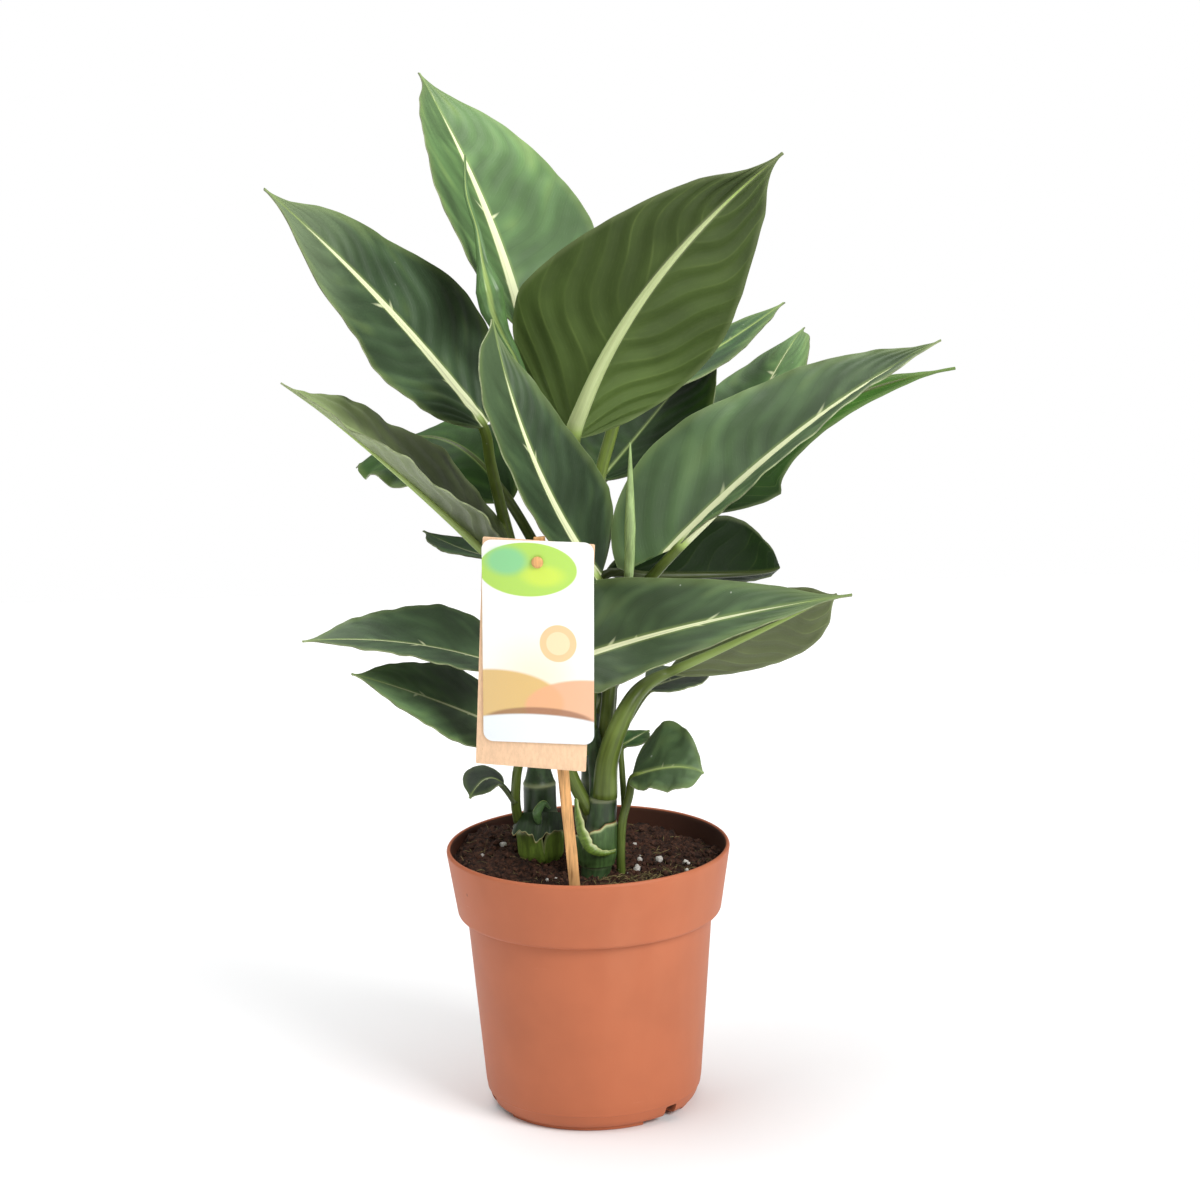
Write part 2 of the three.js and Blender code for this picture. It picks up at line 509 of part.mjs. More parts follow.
// ---------------------------------------------------------------- label

function cardGeometry(height, corner) {
  const [w, h] = [CARD_WIDTH / 2, height];
  const shape = new THREE.Shape();
  shape.moveTo(-w, PEG_BELOW_TOP);
  shape.lineTo(-w, PEG_BELOW_TOP - h + corner);
  shape.absarc(corner - w, PEG_BELOW_TOP - h + corner, corner, Math.PI, 1.5 * Math.PI, false);
  shape.absarc(w - corner, PEG_BELOW_TOP - h + corner, corner, 1.5 * Math.PI, 2 * Math.PI, false);
  shape.lineTo(w, PEG_BELOW_TOP);
  const hole = new THREE.Path();
  hole.absarc(0, 0, PEG_RADIUS + 2 * GAP, 0, 2 * Math.PI, true);
  shape.holes.push(hole);
  const depth = CARD_THICKNESS;
  const card = new THREE.ExtrudeGeometry(shape, { depth, bevelEnabled: false, curveSegments: 4 });
  return card.rotateX(Math.PI / 2);
}

function pegGeometry() {
  const seat = CARD_THICKNESS + GAP;
  const profile = [[0, -PEG_REACH], [PEG_RADIUS, -PEG_REACH], [PEG_RADIUS, seat], [2 * PEG_RADIUS, seat],
    [2 * PEG_RADIUS, seat + 0.7], [1.4 * PEG_RADIUS, seat + 1.2], [0, seat + 1.2]];
  return new THREE.LatheGeometry(profile.map(([r, y]) => new THREE.Vector2(r, y)), 14).rotateX(Math.PI);
}

// ---------------------------------------------------------------- the plant

const plant = new THREE.Group();

function put(name, geometry, material, parent = plant) {
  const mesh = new THREE.Mesh(geometry, material);
  mesh.name = name;
  parent.add(mesh);
  return mesh;
}

const canes = Object.fromEntries(Object.entries(CANES).map(([name, s]) => [name, toSolid(taperedTube(s))]));
const caneRoom = Object.values(CANES).map((s) => toSolid(taperedTube(s, GAP + 0.05)));

// Cuts a solid clear of its neighbours' rooms.
function clearOf(solid, rooms) {
  return rooms.reduce((body, room) => body.subtract(room), solid);
}

for (const [name, solid] of Object.entries(canes)) put(name, toGeometry(solid), STEM_GREEN);

const rooms = [...caneRoom];
for (const leaf of LEAVES) {
  put(leaf.name, toGeometry(leafSolid(leaf, rooms)), LEAF_GREEN);
  rooms.push(toSolid(taperedTube(stalkStations(leaf), GAP + 0.05)));
}
for (const [name, stations] of Object.entries(SPEARS)) {
  put(name, toGeometry(mainBody(clearOf(toSolid(taperedTube(stations)), rooms))), YOUNG_GREEN);
}

const sheaths = Object.fromEntries(Object.entries(SHEATHS).map(([name, values]) => [name, collar(values)]));
for (const [name, solid] of Object.entries(sheaths)) {
  put(name, toGeometry(mainBody(clearOf(solid, rooms))), SHEATH_GREEN);
}

put('pot', toGeometry(potSolid()), TERRACOTTA);

const stickLine = new THREE.Vector3().subVectors(STICK_TOP, STICK_FOOT);
const stickTurn = new THREE.Quaternion().setFromUnitVectors(new THREE.Vector3(0, 0, 1),
  stickLine.clone().normalize());
function stickGeometry(grow) {
  const length = stickLine.length();
  const stick = new THREE.BoxGeometry(STICK_WIDTH + 2 * grow, STICK_DEPTH + 2 * grow, length + 2 * grow);
  const middle = STICK_FOOT.clone().addScaledVector(stickLine, 0.5);
  return stick.applyQuaternion(stickTurn).translate(middle.x, middle.y, middle.z);
}
put('label_stick', stickGeometry(0), STICK_WOOD);

const label = new THREE.Group();
label.position.copy(PEG_PLACE);
label.rotation.set(radians(CARD_LEAN), 0, radians(CARD_TURN), 'ZXY');
plant.add(label);
const front = put('label_card', cardGeometry(FRONT_CARD_HEIGHT, CARD_CORNER), WHITE_CARD, label);
front.rotation.y = radians(FRONT_CARD_SWING);
const back = put('label_back', cardGeometry(BACK_CARD_HEIGHT, 0.6), KRAFT_CARD, label);
back.rotation.y = radians(BACK_CARD_SWING);
back.position.y = CARD_THICKNESS + GAP;
put('label_peg', pegGeometry(), STICK_WOOD, label);

const soilRooms = [...rooms, ...Object.values(sheaths), toSolid(stickGeometry(GAP))];
put('soil', toGeometry(soilSolid(soilRooms)), PEAT);

export default plant;
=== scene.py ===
"""A dieffenbachia in a terracotta-coloured nursery pot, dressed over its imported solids.

Places and sizes are written in millimetres, as in the part's source, and become metres in each mesh.
"""

import math
import random

import bpy
import numpy as np
from bpy.props import FloatProperty, FloatVectorProperty, IntProperty, PointerProperty
from mathutils import Matrix, Vector, noise


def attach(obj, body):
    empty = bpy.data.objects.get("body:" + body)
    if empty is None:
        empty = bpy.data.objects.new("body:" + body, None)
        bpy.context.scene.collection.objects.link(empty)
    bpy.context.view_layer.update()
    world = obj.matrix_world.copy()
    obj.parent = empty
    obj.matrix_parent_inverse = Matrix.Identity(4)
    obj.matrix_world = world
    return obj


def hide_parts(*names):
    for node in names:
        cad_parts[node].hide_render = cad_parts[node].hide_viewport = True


bl_info = {
    "name": "Potted dieffenbachia",
    "version": (1, 0, 0),
    "blender": (4, 5, 0),
    "location": "View3D > Sidebar > Dieffenbachia",
    "description": "Dresses a packed dieffenbachia with leaves, stems, pot, soil, label and studio",
    "category": "Add Mesh",
}

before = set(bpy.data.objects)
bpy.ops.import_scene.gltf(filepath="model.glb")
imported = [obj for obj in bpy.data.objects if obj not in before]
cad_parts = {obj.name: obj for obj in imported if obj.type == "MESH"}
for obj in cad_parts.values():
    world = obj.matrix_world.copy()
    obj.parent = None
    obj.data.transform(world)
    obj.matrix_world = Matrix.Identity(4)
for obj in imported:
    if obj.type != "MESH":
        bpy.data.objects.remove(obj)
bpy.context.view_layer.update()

MM = 0.001

# ---------------------------------------------------------------- the plant, as in the part's source


def leaf(name, look, base, mid, tip, face, half, fold, widest, full, petiole,
         share=(1, 1), shoulder=(0.65, 0.65), lobe=(0, 0), stalk=2.2, root=2.6, veins=12, wave=0.35,
         quilt=0.45, frill=1.0, cream=1.0, band=0.9, tone=(1.0, 1.0), stem=1.0):
    """One leaf: pairs give its right and its left half, and petiole is the way from blade to stem.

    base, mid and tip are points of the midrib, and face is where the upper side looks. half is the
    greatest half width, share what each half has of it, and fold how far each is folded up, in degrees.
    widest is where along the midrib that width is reached, full how long it holds towards the tip, and
    shoulder how slowly it grows from the base. lobe is how far a half reaches back past the base. stalk
    and root are the petiole's radius at the blade and at the stem, and veins counts the side veins of a
    half. wave, quilt and frill scale the unevenness, cream the paleness of the midrib, band is half the
    width of its pale band at the base, tone the brightness of its green at the base and at the tip, and
    stem that of its petiole. tone and stem are partly painted light and shade: they lighten a leaf or a
    petiole that stands in the light and darken one in shade, besides its own tone.
    """
    return dict(name=name, look=look, base=base, mid=mid, tip=tip, face=face, half=half, fold=fold,
                widest=widest, full=full, petiole=petiole, share=share, shoulder=shoulder, lobe=lobe,
                stalk=stalk, root=root, veins=veins, wave=wave, quilt=quilt, frill=frill, cream=cream,
                band=band, tone=tone, stem=stem)


STEM_DEPTH = 95        # height of the buried ends of the stems
MARGIN_WAVE = 0.035    # height of the margin's waves, as a share of the half width
MARGIN_WAVES = 3       # waves along a margin
VEIN_LEAN = 0.16       # how far up the blade a side vein has gone at the margin, by its slant
VEIN_CURVE = 0.14      # and by its curve
VEIN_SHIFT = 0.37      # how much nearer the base the right half's veins are, as a share of their spacing
VEIN_WANDER = 0.16     # how far a vein strays from its even place, as a share of that spacing
VEIN_WANDER_TURNS = 17     # radians that the straying goes through from base to tip
VEIN_WANDER_LAG = 4.0      # and from midrib to margin

# tone and stem in this table are partly painted light and shade: they lighten leaves and petioles that
# stand in the light and darken those in shade
LEAVES = [
    leaf("leaf_top", "fresh", (-22, 20, 330), (-38, 48, 381), (-64, 96, 431), (0.62, -0.52, 0.6),
         44, (22, 22), (0.34, 0.42), (1.9, 1.5),
         [(-21, 22, 308), (-14, 24, 268), (-4, 23, 235), (1, 21, 214)],
         share=(1.04, 0.93), stalk=2.3, root=3.2, veins=13, wave=0.25, quilt=0.5, band=3.4,
         tone=(0.75, 0.9), stem=1.2),
    leaf("leaf_upper_right", "olive", (-2, -5, 288), (29, -32, 351), (82, -70, 409), (0.24, 0.94, 0.24),
         44, (30, 30), (0.26, 0.42), (1.1, 1.6), [(-2, -2, 265), (0, 5, 235), (2, 13, 205), (2, 18, 190)],
         share=(1.16, 0.96), stalk=3.6, root=3.4, veins=9, wave=0.3, quilt=2.2, cream=0.7, band=2.6,
         tone=(0.95, 0.6)),
    leaf("leaf_upper_left", "silver", (-38, 0, 293), (-78, -6, 346), (-121, -38, 397), (0.76, -0.46, 0.47),
         42, (9, 9), (0.3, 0.4), (1.25, 1.9),
         [(-36.3, 3, 278), (-33, 9.5, 259), (-28, 13.5, 235), (-22, 11, 200), (-20, 7, 178)],
         stalk=2.2, root=2.8, veins=12, wave=0.7, quilt=1.5, band=3.3, tone=(1.0, 0.9), stem=1.5),
    leaf("leaf_front", "deep", (7.2, -14, 230.3), (-17.5, -34, 283), (-33, -31, 342),
         (0.71, -0.43, 0.38), 32.1, (22, 13.8), (0.23, 0.7), (1.65, 2.6),
         [(9, -5, 217), (6, -5, 196), (2, -12, 175), (3, -19, 157)],
         share=(0.93, 0.95), stalk=2.5, root=3, veins=11, wave=0.2, frill=2, band=2.9, tone=(0.7, 1.0)),
    leaf("leaf_large_right", "grey", (39, -25, 245), (92, -26, 293), (146, -40, 330), (-0.39, -0.27, 0.88),
         43.4, (22, 32), (0.36, 0.18), (1.3, 1.28),
         [(28, -15, 230), (15, -2, 211), (12, -3, 194), (9, -12, 170), (6, -20, 153)],
         shoulder=(1.2, 0.74), lobe=(0, 26), stalk=2.1, root=3.2, veins=11, wave=0.4, quilt=1.0,
         frill=1.5, band=3.3, tone=(1.35, 0.7)),
    leaf("leaf_under_large", "shade", (10, 2, 229), (70, 19, 224), (84, 44, 222), (-0.6, 0.8, 0.07),
         27.7, (37, 50), (0.45, 0.36), (1.4, 1.57),
         [(11, 4, 214), (12, 6, 192), (11, 9, 170), (7, 14, 152)],
         share=(0.95, 0.3), stalk=2, root=2.6, veins=9, wave=0.5, cream=0.0, tone=(0.4, 0.4), stem=0.4),
    leaf("leaf_lower_right", "grey", (-8.3, -25, 197.6), (45, -45.7, 217.4), (107, -73, 234.5),
         (-0.33, -0.77, 0.65), 29.4, (18, 14.7), (0.173, 0.194), (1.2, 1.16),
         [(-13, -27, 176), (-6, -26, 150), (1, -24, 134)],
         share=(0.78, 1), shoulder=(0.8, 0.65), stalk=2.6, root=3, veins=11, wave=0.5,
         frill=1.8, band=1.6, tone=(0.7, 0.9)),
    leaf("leaf_lower_right_back", "dull", (35, -10, 189), (74, -18, 208), (105, -20, 223),
         (0.22, 0.96, -0.15), 26, (60, 60), (0.5, 0.5), (2, 2.4),
         [(28, -15, 187), (21.5, -21, 183), (15, -25, 173), (9, -27, 157), (7.5, -27, 141)],
         share=(0.85, 1), stalk=2.2, root=5.2, veins=7, wave=0.5, quilt=1, cream=0.25,
         tone=(0.85, 0.85)),
    leaf("leaf_low_left", "deep", (-26, -8, 190), (-69, -15, 205), (-115, -25, 210), (0.27, -0.07, 0.96),
         40, (10, 10), (0.34, 0.34), (1.3, 1.3), [(-25, -4, 176), (-22, 2, 158)], stalk=2.2, root=2.6,
         wave=0.15, quilt=0.1, frill=1.8, tone=(1.6, 0.95)),
    leaf("leaf_lowest_left", "grey", (-26, -14, 164), (-61, -20, 182), (-95, -30, 197), (0.46, -0.19, 0.87),
         33, (4, 4), (0.4, 0.42), (1.3, 1.5), [(-29, -9, 147), (-30, -4, 133), (-29.1, 1, 123.5)],
         stalk=1.9, root=2.2, veins=10, wave=0.2, quilt=0.15,
         frill=1.5, band=1.3, tone=(1.2, 1.5)),
    leaf("leaf_folded_left", "bronze", (-28, -14, 234), (-73, -22, 279), (-118, -36, 319),
         (0.69, 0.04, 0.72), 40, (20, 20), (0.36, 0.36), (1.6, 1.3),
         [(-27, -9, 210), (-22, 0, 184), (-20, 3, 168)], stalk=2.3, root=2.6, veins=8,
         wave=1.0, quilt=1.2, frill=3.2, cream=0.5, tone=(0.55, 1.9), stem=0.6),
    leaf("leaf_behind_folded", "shade", (-29, 33, 255), (-60, 56, 279), (-97, 88, 261), (0.05, -0.31, 0.95),
         36, (-11, -11), (0.72, 0.5), (3, 2.2), [(-16, 33, 229), (-4, 27, 200), (1, 22, 180)], veins=10,
         wave=1.8, quilt=0.2, cream=0.0, tone=(1.0, 1.7), stem=0.6),
    leaf("leaf_back_slim", "bright", (19, 26, 297), (59, 70, 311), (93, 115, 325), (-0.16, -0.17, 0.97),
         24, (4, 4), (0.4, 0.4), (1, 1.2), [(13, 21, 281), (8, 18, 262), (7, 18, 240), (4, 19, 212)],
         share=(0.75, 1), stalk=2.6, root=2.6, veins=10, cream=0.3, tone=(0.5, 0.6), stem=1.5),
    leaf("leaf_back_right", "fresh", (58, 42, 253), (81, 68, 293), (101, 105, 315), (-0.62, -0.32, 0.71),
         40, (5, 5), (0.4, 0.4), (1.6, 1.6), [(44, 40, 228), (22, 32, 200), (6, 23, 184)],
         share=(0.65, 1), stalk=2.3, root=2.8, veins=10, wave=0.2, tone=(0.9, 1.1)),
    leaf("leaf_far_right", "shade", (46, 26, 249), (94, 28, 288), (161, 45, 305), (-0.13, 0.94, -0.31),
         30, (30, 45), (0.25, 0.3), (0.8, 0.5), [(43, 33, 230), (22, 23, 196), (6, 18, 165)],
         share=(0.6, 1), stalk=2.2, root=2.8, cream=0.0, tone=(0.7, 2.5), stem=0.7),
    leaf("leaf_middle", "shade", (9, 32, 263), (31, 54, 284), (60, 92, 311), (-0.43, -0.29, 0.85),
         38, (4, 4), (0.4, 0.4), (1.6, 1.6), [(9, 31, 245), (6, 27, 225), (3, 22, 205)],
         stalk=2.3, root=2.6, veins=10, cream=0.3),
    leaf("leaf_small_left", "bright", (-31, 22, 232), (-49, 34, 234), (-67, 48, 240), (0.19, 0.01, 0.98),
         20, (6, 6), (0.4, 0.4), (1.6, 1.6), [(-26, 19, 212), (-21, 12, 188), (-20, 8, 172)],
         stalk=1.5, root=1.8, veins=6, tone=(0.9, 0.9)),
    leaf("leaf_foot_right", "grey", (19, -26, 149), (36, -38, 156), (48, -41, 154), (-0.2, -0.5, 0.88),
         23, (10, 14), (0.6, 0.36), (2.5, 1.25),
         [(17.5, -27, 141), (14.8, -27.5, 132), (13.6, -25, 119), (13.6, -22, STEM_DEPTH)],
         share=(0.66, 1), shoulder=(0.5, 0.45), stalk=1.7, root=1.9, veins=6, wave=1.4, quilt=0.8,
         frill=2, cream=0.5, tone=(0.95, 1.15)),
    leaf("leaf_foot_tiny", "bright", (15, -9, 157.5), (21, -5, 160), (27, -1, 162), (-0.27, -0.17, 0.95),
         10, (6, 6), (0.4, 0.4), (1.6, 1.6), [(15, -15, 149), (15.4, -22, 140), (15.6, -27, 134.5)],
         stalk=1.2, root=1.4, veins=4),
    leaf("leaf_small_back", "deep", (27, 10, 177), (40, 15, 180), (53, 24, 180), (-0.1, -0.09, 0.99),
         18, (6, 6), (0.4, 0.4), (1.6, 1.6), [(17, 17, 160), (6, 19, 142)], stalk=1.5, root=1.8, veins=5),
    leaf("leaf_foot_left", "deep", (-35, -5, 141), (-42, -6, 144), (-49, -10, 137), (0.04, -0.01, 1),
         15, (6, 6), (0.5, 0.5), (2, 2), [(-32.5, -5.5, 137), (-30, -6.5, 133)],
         stalk=1.2, root=1.3, veins=4, tone=(0.55, 0.55), stem=0.55),
]

# Stems and rolled young leaves: points up the middle, each with its radius.
CANES = {
    "cane_right": [(3, -24, STEM_DEPTH, 6.6), (3, -24, 108, 6.6), (6.4, -24, 138, 6.2),
                   (5.6, -22, 146, 4.6), (4, -19, 158, 3.6), (3.4, -18, 168, 2.6)],
    "cane_left": [(-20, 5, STEM_DEPTH, 7.4), (-20, 5, 108, 7.4), (-20, 5, 137, 7.2), (-20, 5, 146, 5),
                  (-20, 5, 165, 4), (-20, 6, 188, 2.6)],
    "cane_back": [(3, 20, STEM_DEPTH, 5.8), (3, 20, 108, 5.8), (3, 20, 150, 5.4), (2, 20, 190, 4.6),
                  (2, 20, 226, 3)],
}
SCAR_HEIGHTS = {"cane_right": (113, 126, 140), "cane_left": (126, 139),
                "cane_back": (120, 136, 152, 170, 190)}

SPEARS = {
    "spear_top": [(2, 19, 229.5, 2.4), (-4, 14, 255, 2.4), (-15, 8, 290, 2.2), (-24, 2, 320, 2),
                  (-29.5, -0.5, 332, 3), (-33, -3.4, 342, 5.2), (-34.3, -3.8, 350, 5.6),
                  (-36.5, -1.5, 361, 2.6), (-38.5, 2, 374, 1.3), (-42.5, 9, 388, 1.1), (-43, 16, 403, 0.4)],
    "spear_right": [(16.9, -10, 217, 1.4), (17.5, -13.5, 223.5, 1.6), (19.5, -19, 233, 2.4),
                    (20.4, -30, 255, 2.8), (20.8, -33, 272, 1.8), (21.2, -35, 291, 0.4)],
    "shoot_foot": [(-20.5, 1, 124.5, 1.4), (-20.5, -6.5, 125.5, 1.7), (-21, -9, 130, 2.5),
                   (-18, -9.5, 134, 1.6), (-15.5, -9, 131.5, 0.5)],
}
SPEAR_GREENS = {"spear_top": "fresh_green", "spear_right": "young_green", "shoot_foot": "fresh_green"}

# Cut leaf bases that clasp a cane. slant is how steeply the lip is cut and bearing where it stands highest,
# both in degrees. Each split has its bearing and its depth.
SHEATHS = {
    "sheath_left": dict(
        at=(-20, 5), bottom=106, top=122, inner=7.9, outer=10.2, flare=0.6, slant=14, bearing=-70,
        green="#7d9a3c", pale_from=0.8, splits=((-82, 11.0), (-20, 5.0), (150, 6.0)), split_width=0.09,
        seed=11),
    "sheath_right": dict(
        at=(3.4, -24), bottom=112, top=131, inner=7.1, outer=8.6, flare=1, slant=24, bearing=-20,
        green="#4c6a38", pale_from=0.9, splits=((-128, 7.0), (60, 4.0)), split_width=0.14, seed=12),
}
SHEATH_THICKNESS = 1.1

# Torn leaf bases at the foot: colour, share of the width from which it pales, near edge and far edge.
FLAPS = {
    "collar_left": (
        "#2c4420", 0.93,
        [(-28, 3, 125), (-27, -1, 127.5), (-22, -3.4, 128.5), (-16, -2.6, 128), (-11.6, 1.5, 126.5)],
        [(-31, 2, 121.5), (-31.5, -3.5, 119), (-26.5, -6.8, 121), (-21.5, -8.2, 117.2),
         (-16, -7.4, 120.5), (-9.6, -2, 119)]),
    "peel_right": (
        "#6f8c34", 0.5,
        [(-5, -26, 140), (-4.9, -30.6, 132), (-3.4, -33, 125), (0, -34.6, 119.8), (5.6, -35.2, 118.2),
         (11, -33.4, 118.8)],
        [(-4.2, -26, 141), (-2.2, -31.8, 134), (0.6, -33.6, 126.4), (3.4, -34.2, 121.8),
         (7.4, -34.5, 120), (11.4, -32.6, 120)]),
}
FLAP_THICKNESS = 0.6

# The pot: heights from its foot, radii from its axis.
POT_HEIGHT = 113
RIM_RADIUS = 60
BAND_BOTTOM = 84.2         # underside of the wide rim band
BAND_FOOT_RADIUS = 55.9    # the band at its lower edge
BODY_TOP_RADIUS = 52       # the wall just under the band
CORNER_RADIUS = 46.1       # the wall where it turns in to the foot
CORNER_HEIGHT = 10.6
WALL_FOOT_RADIUS = 42.8
MOULD_LINE = 7.6           # height of the fine line where the mould parts
FOOT_RING_RADIUS = 41.5
FOOT_RING_WIDTH = 3.5
FOOT_RING_HEIGHT = 2
WALL = 1.6
FLOOR_UNDERSIDE = 2.4
PAD_RADIUS = 14            # level pad in the middle of the underside
DRAIN_HOLES = 6
DRAIN_RADIUS = 3.5
DRAIN_CIRCLE = 27          # how far the drain holes lie from the axis
NOTCHES = 3
NOTCH_BEARING = -44        # of the first notch, in degrees
NOTCH_WIDTH = 9
NOTCH_TOP = 6.6
FOOT_GAP_ANGLE = 34        # degrees of foot ring left out at each notch

SOIL_LEVEL = 106.5
SOIL_BOTTOM = 4.3
SOIL_REACH = 57.4          # radius of the soil's top

# The label: two cards on a peg, and the stick behind them. Angles are in degrees.
CARD_WIDTH = 45
FRONT_CARD_HEIGHT = 84
BACK_CARD_HEIGHT = 95
CARD_THICKNESS = 0.7
FRONT_CARD_CORNER = 4      # radius of its lower corners
BACK_CARD_CORNER = 0.6
CARD_LEAN = 2.7            # how far both lean back
CARD_TURN = -8             # how far both are turned about the upright
FRONT_CARD_SWING = 1.7     # how far it hangs askew on the peg
BACK_CARD_SWING = 4
CARD_GAP = 0.3             # between the two cards
CARD_CUTS = 24             # rings of edges over its height
PEG_PLACE = Vector((-17, -62.2, 249))
PEG_REACH = 1.6            # how far the peg goes back from its place, to the stick
PEG_RADIUS = 1.2
PEG_BELOW_TOP = 8.5        # how far it lies below the top of a card
STICK_FOOT = Vector((-5, -46, 97))
STICK_TOP = Vector((-16.2, -60, 258.5))
STICK_WIDTH = 4.6
STICK_DEPTH = 2.2
STICK_CUTS = 60            # rings of edges over its length

# The photograph's viewpoint, from the fit of the pot's ellipses. Angles are in degrees.
CAMERA_PLACE = Vector((0, -1420.8, 541.1))
CAMERA_PITCH = 12.79
CAMERA_YAW = 0.309
CAMERA_ROLL = 1.444
FOCAL_PIXELS = 3496.7
IMAGE_WIDTH = 1200
SENSOR = 36.0          # its width in millimetres

# The studio, in metres.
FLOOR_SIZE = 2.0
FLOOR_GLOW = 0.16      # strength of the floor's own light, far from the pot
LIGHTS_AIM = Vector((0, 0, 0.2))


# ---------------------------------------------------------------- settings a user would change


def swatch(hexadecimal):
    """A colour written as in a paint chart, as linear red, green and blue."""
    parts = [int(hexadecimal[i:i + 2], 16) / 255 for i in (1, 3, 5)]
    return tuple(c / 12.92 if c <= 0.04045 else ((c + 0.055) / 1.055) ** 2.4 for c in parts)


def colour_setting(name, description, hexadecimal):
    """A colour property with its default."""
    return FloatVectorProperty(name=name, description=description, subtype="COLOR", size=3,
                               min=0.0, max=1.0, default=swatch(hexadecimal))


def toned(colour, factor):
    """A colour made darker or lighter by a factor."""
    return tuple(factor * c for c in colour)


class LeafSettings(bpy.types.PropertyGroup):
    """Sizes and colours of the leaves and stems."""

    thickness: FloatProperty(name="Blade thickness", description="Thickness of a leaf blade",
                             default=0.55 * MM, min=0.1 * MM, unit="LENGTH")
    quilting: FloatProperty(name="Quilting", description="Height of the swellings between two side veins",
                            default=0.55 * MM, min=0.0, unit="LENGTH")
    frill: FloatProperty(name="Frill", description="Fine margin waves, as a share of the half width",
                         default=0.004, min=0.0, max=0.1, subtype="FACTOR")
    deep_green: colour_setting("Deep green", "Upper side of a grown leaf", "#3d5236")
    bright_green: colour_setting("Bright green", "Upper side of a leaf in the crown", "#3d6a2f")
    fresh_green: colour_setting("Fresh green", "Upper side of the newest leaves", "#5e814b")
    young_green: colour_setting("Young green", "Rolled leaf at the right", "#a6c07e")
    # painted sheen: this lighter, greyer green stands in for the sheen on the leaves that catch the light,
    # partly their own tone
    sheened_grey_green: colour_setting("Grey green", "Upper side of an old leaf", "#4c6440")
    bronze_green: colour_setting("Bronze green", "Both sides of a leaf gone dull", "#66724a")
    olive_green: colour_setting("Olive green", "Underside of the newest leaves", "#576b35")
    dull_green: colour_setting("Dull green", "Underside of the low leaf at the right", "#5c6640")
    # painted shade: this darkened green stands in for the shade deep in the plant, on leaves of the shade
    # look and on most undersides
    shade_green: colour_setting("Shade green", "Leaves deep in the plant and most undersides", "#244012")
    blotch: colour_setting("Blotches", "Yellow-green flecks beside the veins", "#a0b766")
    cream: colour_setting("Midrib", "Midrib and the roots of the side veins", "#e9eec0")
    # the margin colour is partly the blade's own pale edge and partly a painted highlight where light
    # catches that edge
    margin: colour_setting("Margin", "Thin line round the blade", "#a9b683")
    stalk_green: colour_setting("Petiole", "Leaf stalks", "#5a6a2a")
    cane_green: colour_setting("Cane", "Old stems at the foot", "#334a28")


class PotSettings(bpy.types.PropertyGroup):
    """Sizes and colours of the pot."""

    roundness: FloatProperty(name="Edge rounding", description="Radius of the pot's moulded edges",
                             default=0.9 * MM, min=0.1 * MM, unit="LENGTH")
    terracotta: colour_setting("Terracotta", "Colour of the plastic", "#b66846")
    # painted shade: the inside colour is darker than the plastic to stand in for the shade inside the pot,
    # partly stain
    inside: colour_setting("Inside", "Wall above the soil, stained and in shade", "#4a2c20")


class SoilSettings(bpy.types.PropertyGroup):
    """What lies on the soil, and its colours."""

    crumbs: IntProperty(name="Crumbs", description="Number of peat crumbs", default=1300, min=0)
    grains: IntProperty(name="Perlite", description="Number of perlite grains", default=26, min=0)
    fibres: IntProperty(name="Fibres", description="Number of straws and root hairs", default=420, min=0)
    peat: colour_setting("Peat", "Colour of the moist peat", "#3a2318")
    perlite: colour_setting("Perlite", "Colour of the grains", "#d9d4cc")
    straw: colour_setting("Straw", "Colour of the fibres", "#8f8254")


class LabelSettings(bpy.types.PropertyGroup):
    """Colours of the plant label."""

    paper: colour_setting("Front card", "Paper of the front card", "#f6f5f0")
    kraft: colour_setting("Back card", "Kraft board of the back card", "#f0c9a4")
    wood: colour_setting("Wood", "Stick and peg", "#dca76d")


class StudioSettings(bpy.types.PropertyGroup):
    """Light of the studio."""

    key_power: FloatProperty(name="Key light", description="Power of the large soft box at the right",
                             default=31.0, min=0.0, unit="POWER")
    fill_power: FloatProperty(name="Fill light", description="Power of the soft box at the left",
                              default=8.0, min=0.0, unit="POWER")
    top_power: FloatProperty(name="Top light", description="Power of the soft box overhead",
                             default=28.0, min=0.0, unit="POWER")
    ambience: FloatProperty(name="Ambience", description="Strength of the white surroundings",
                            default=0.29, min=0.0)


# ---------------------------------------------------------------- node trees


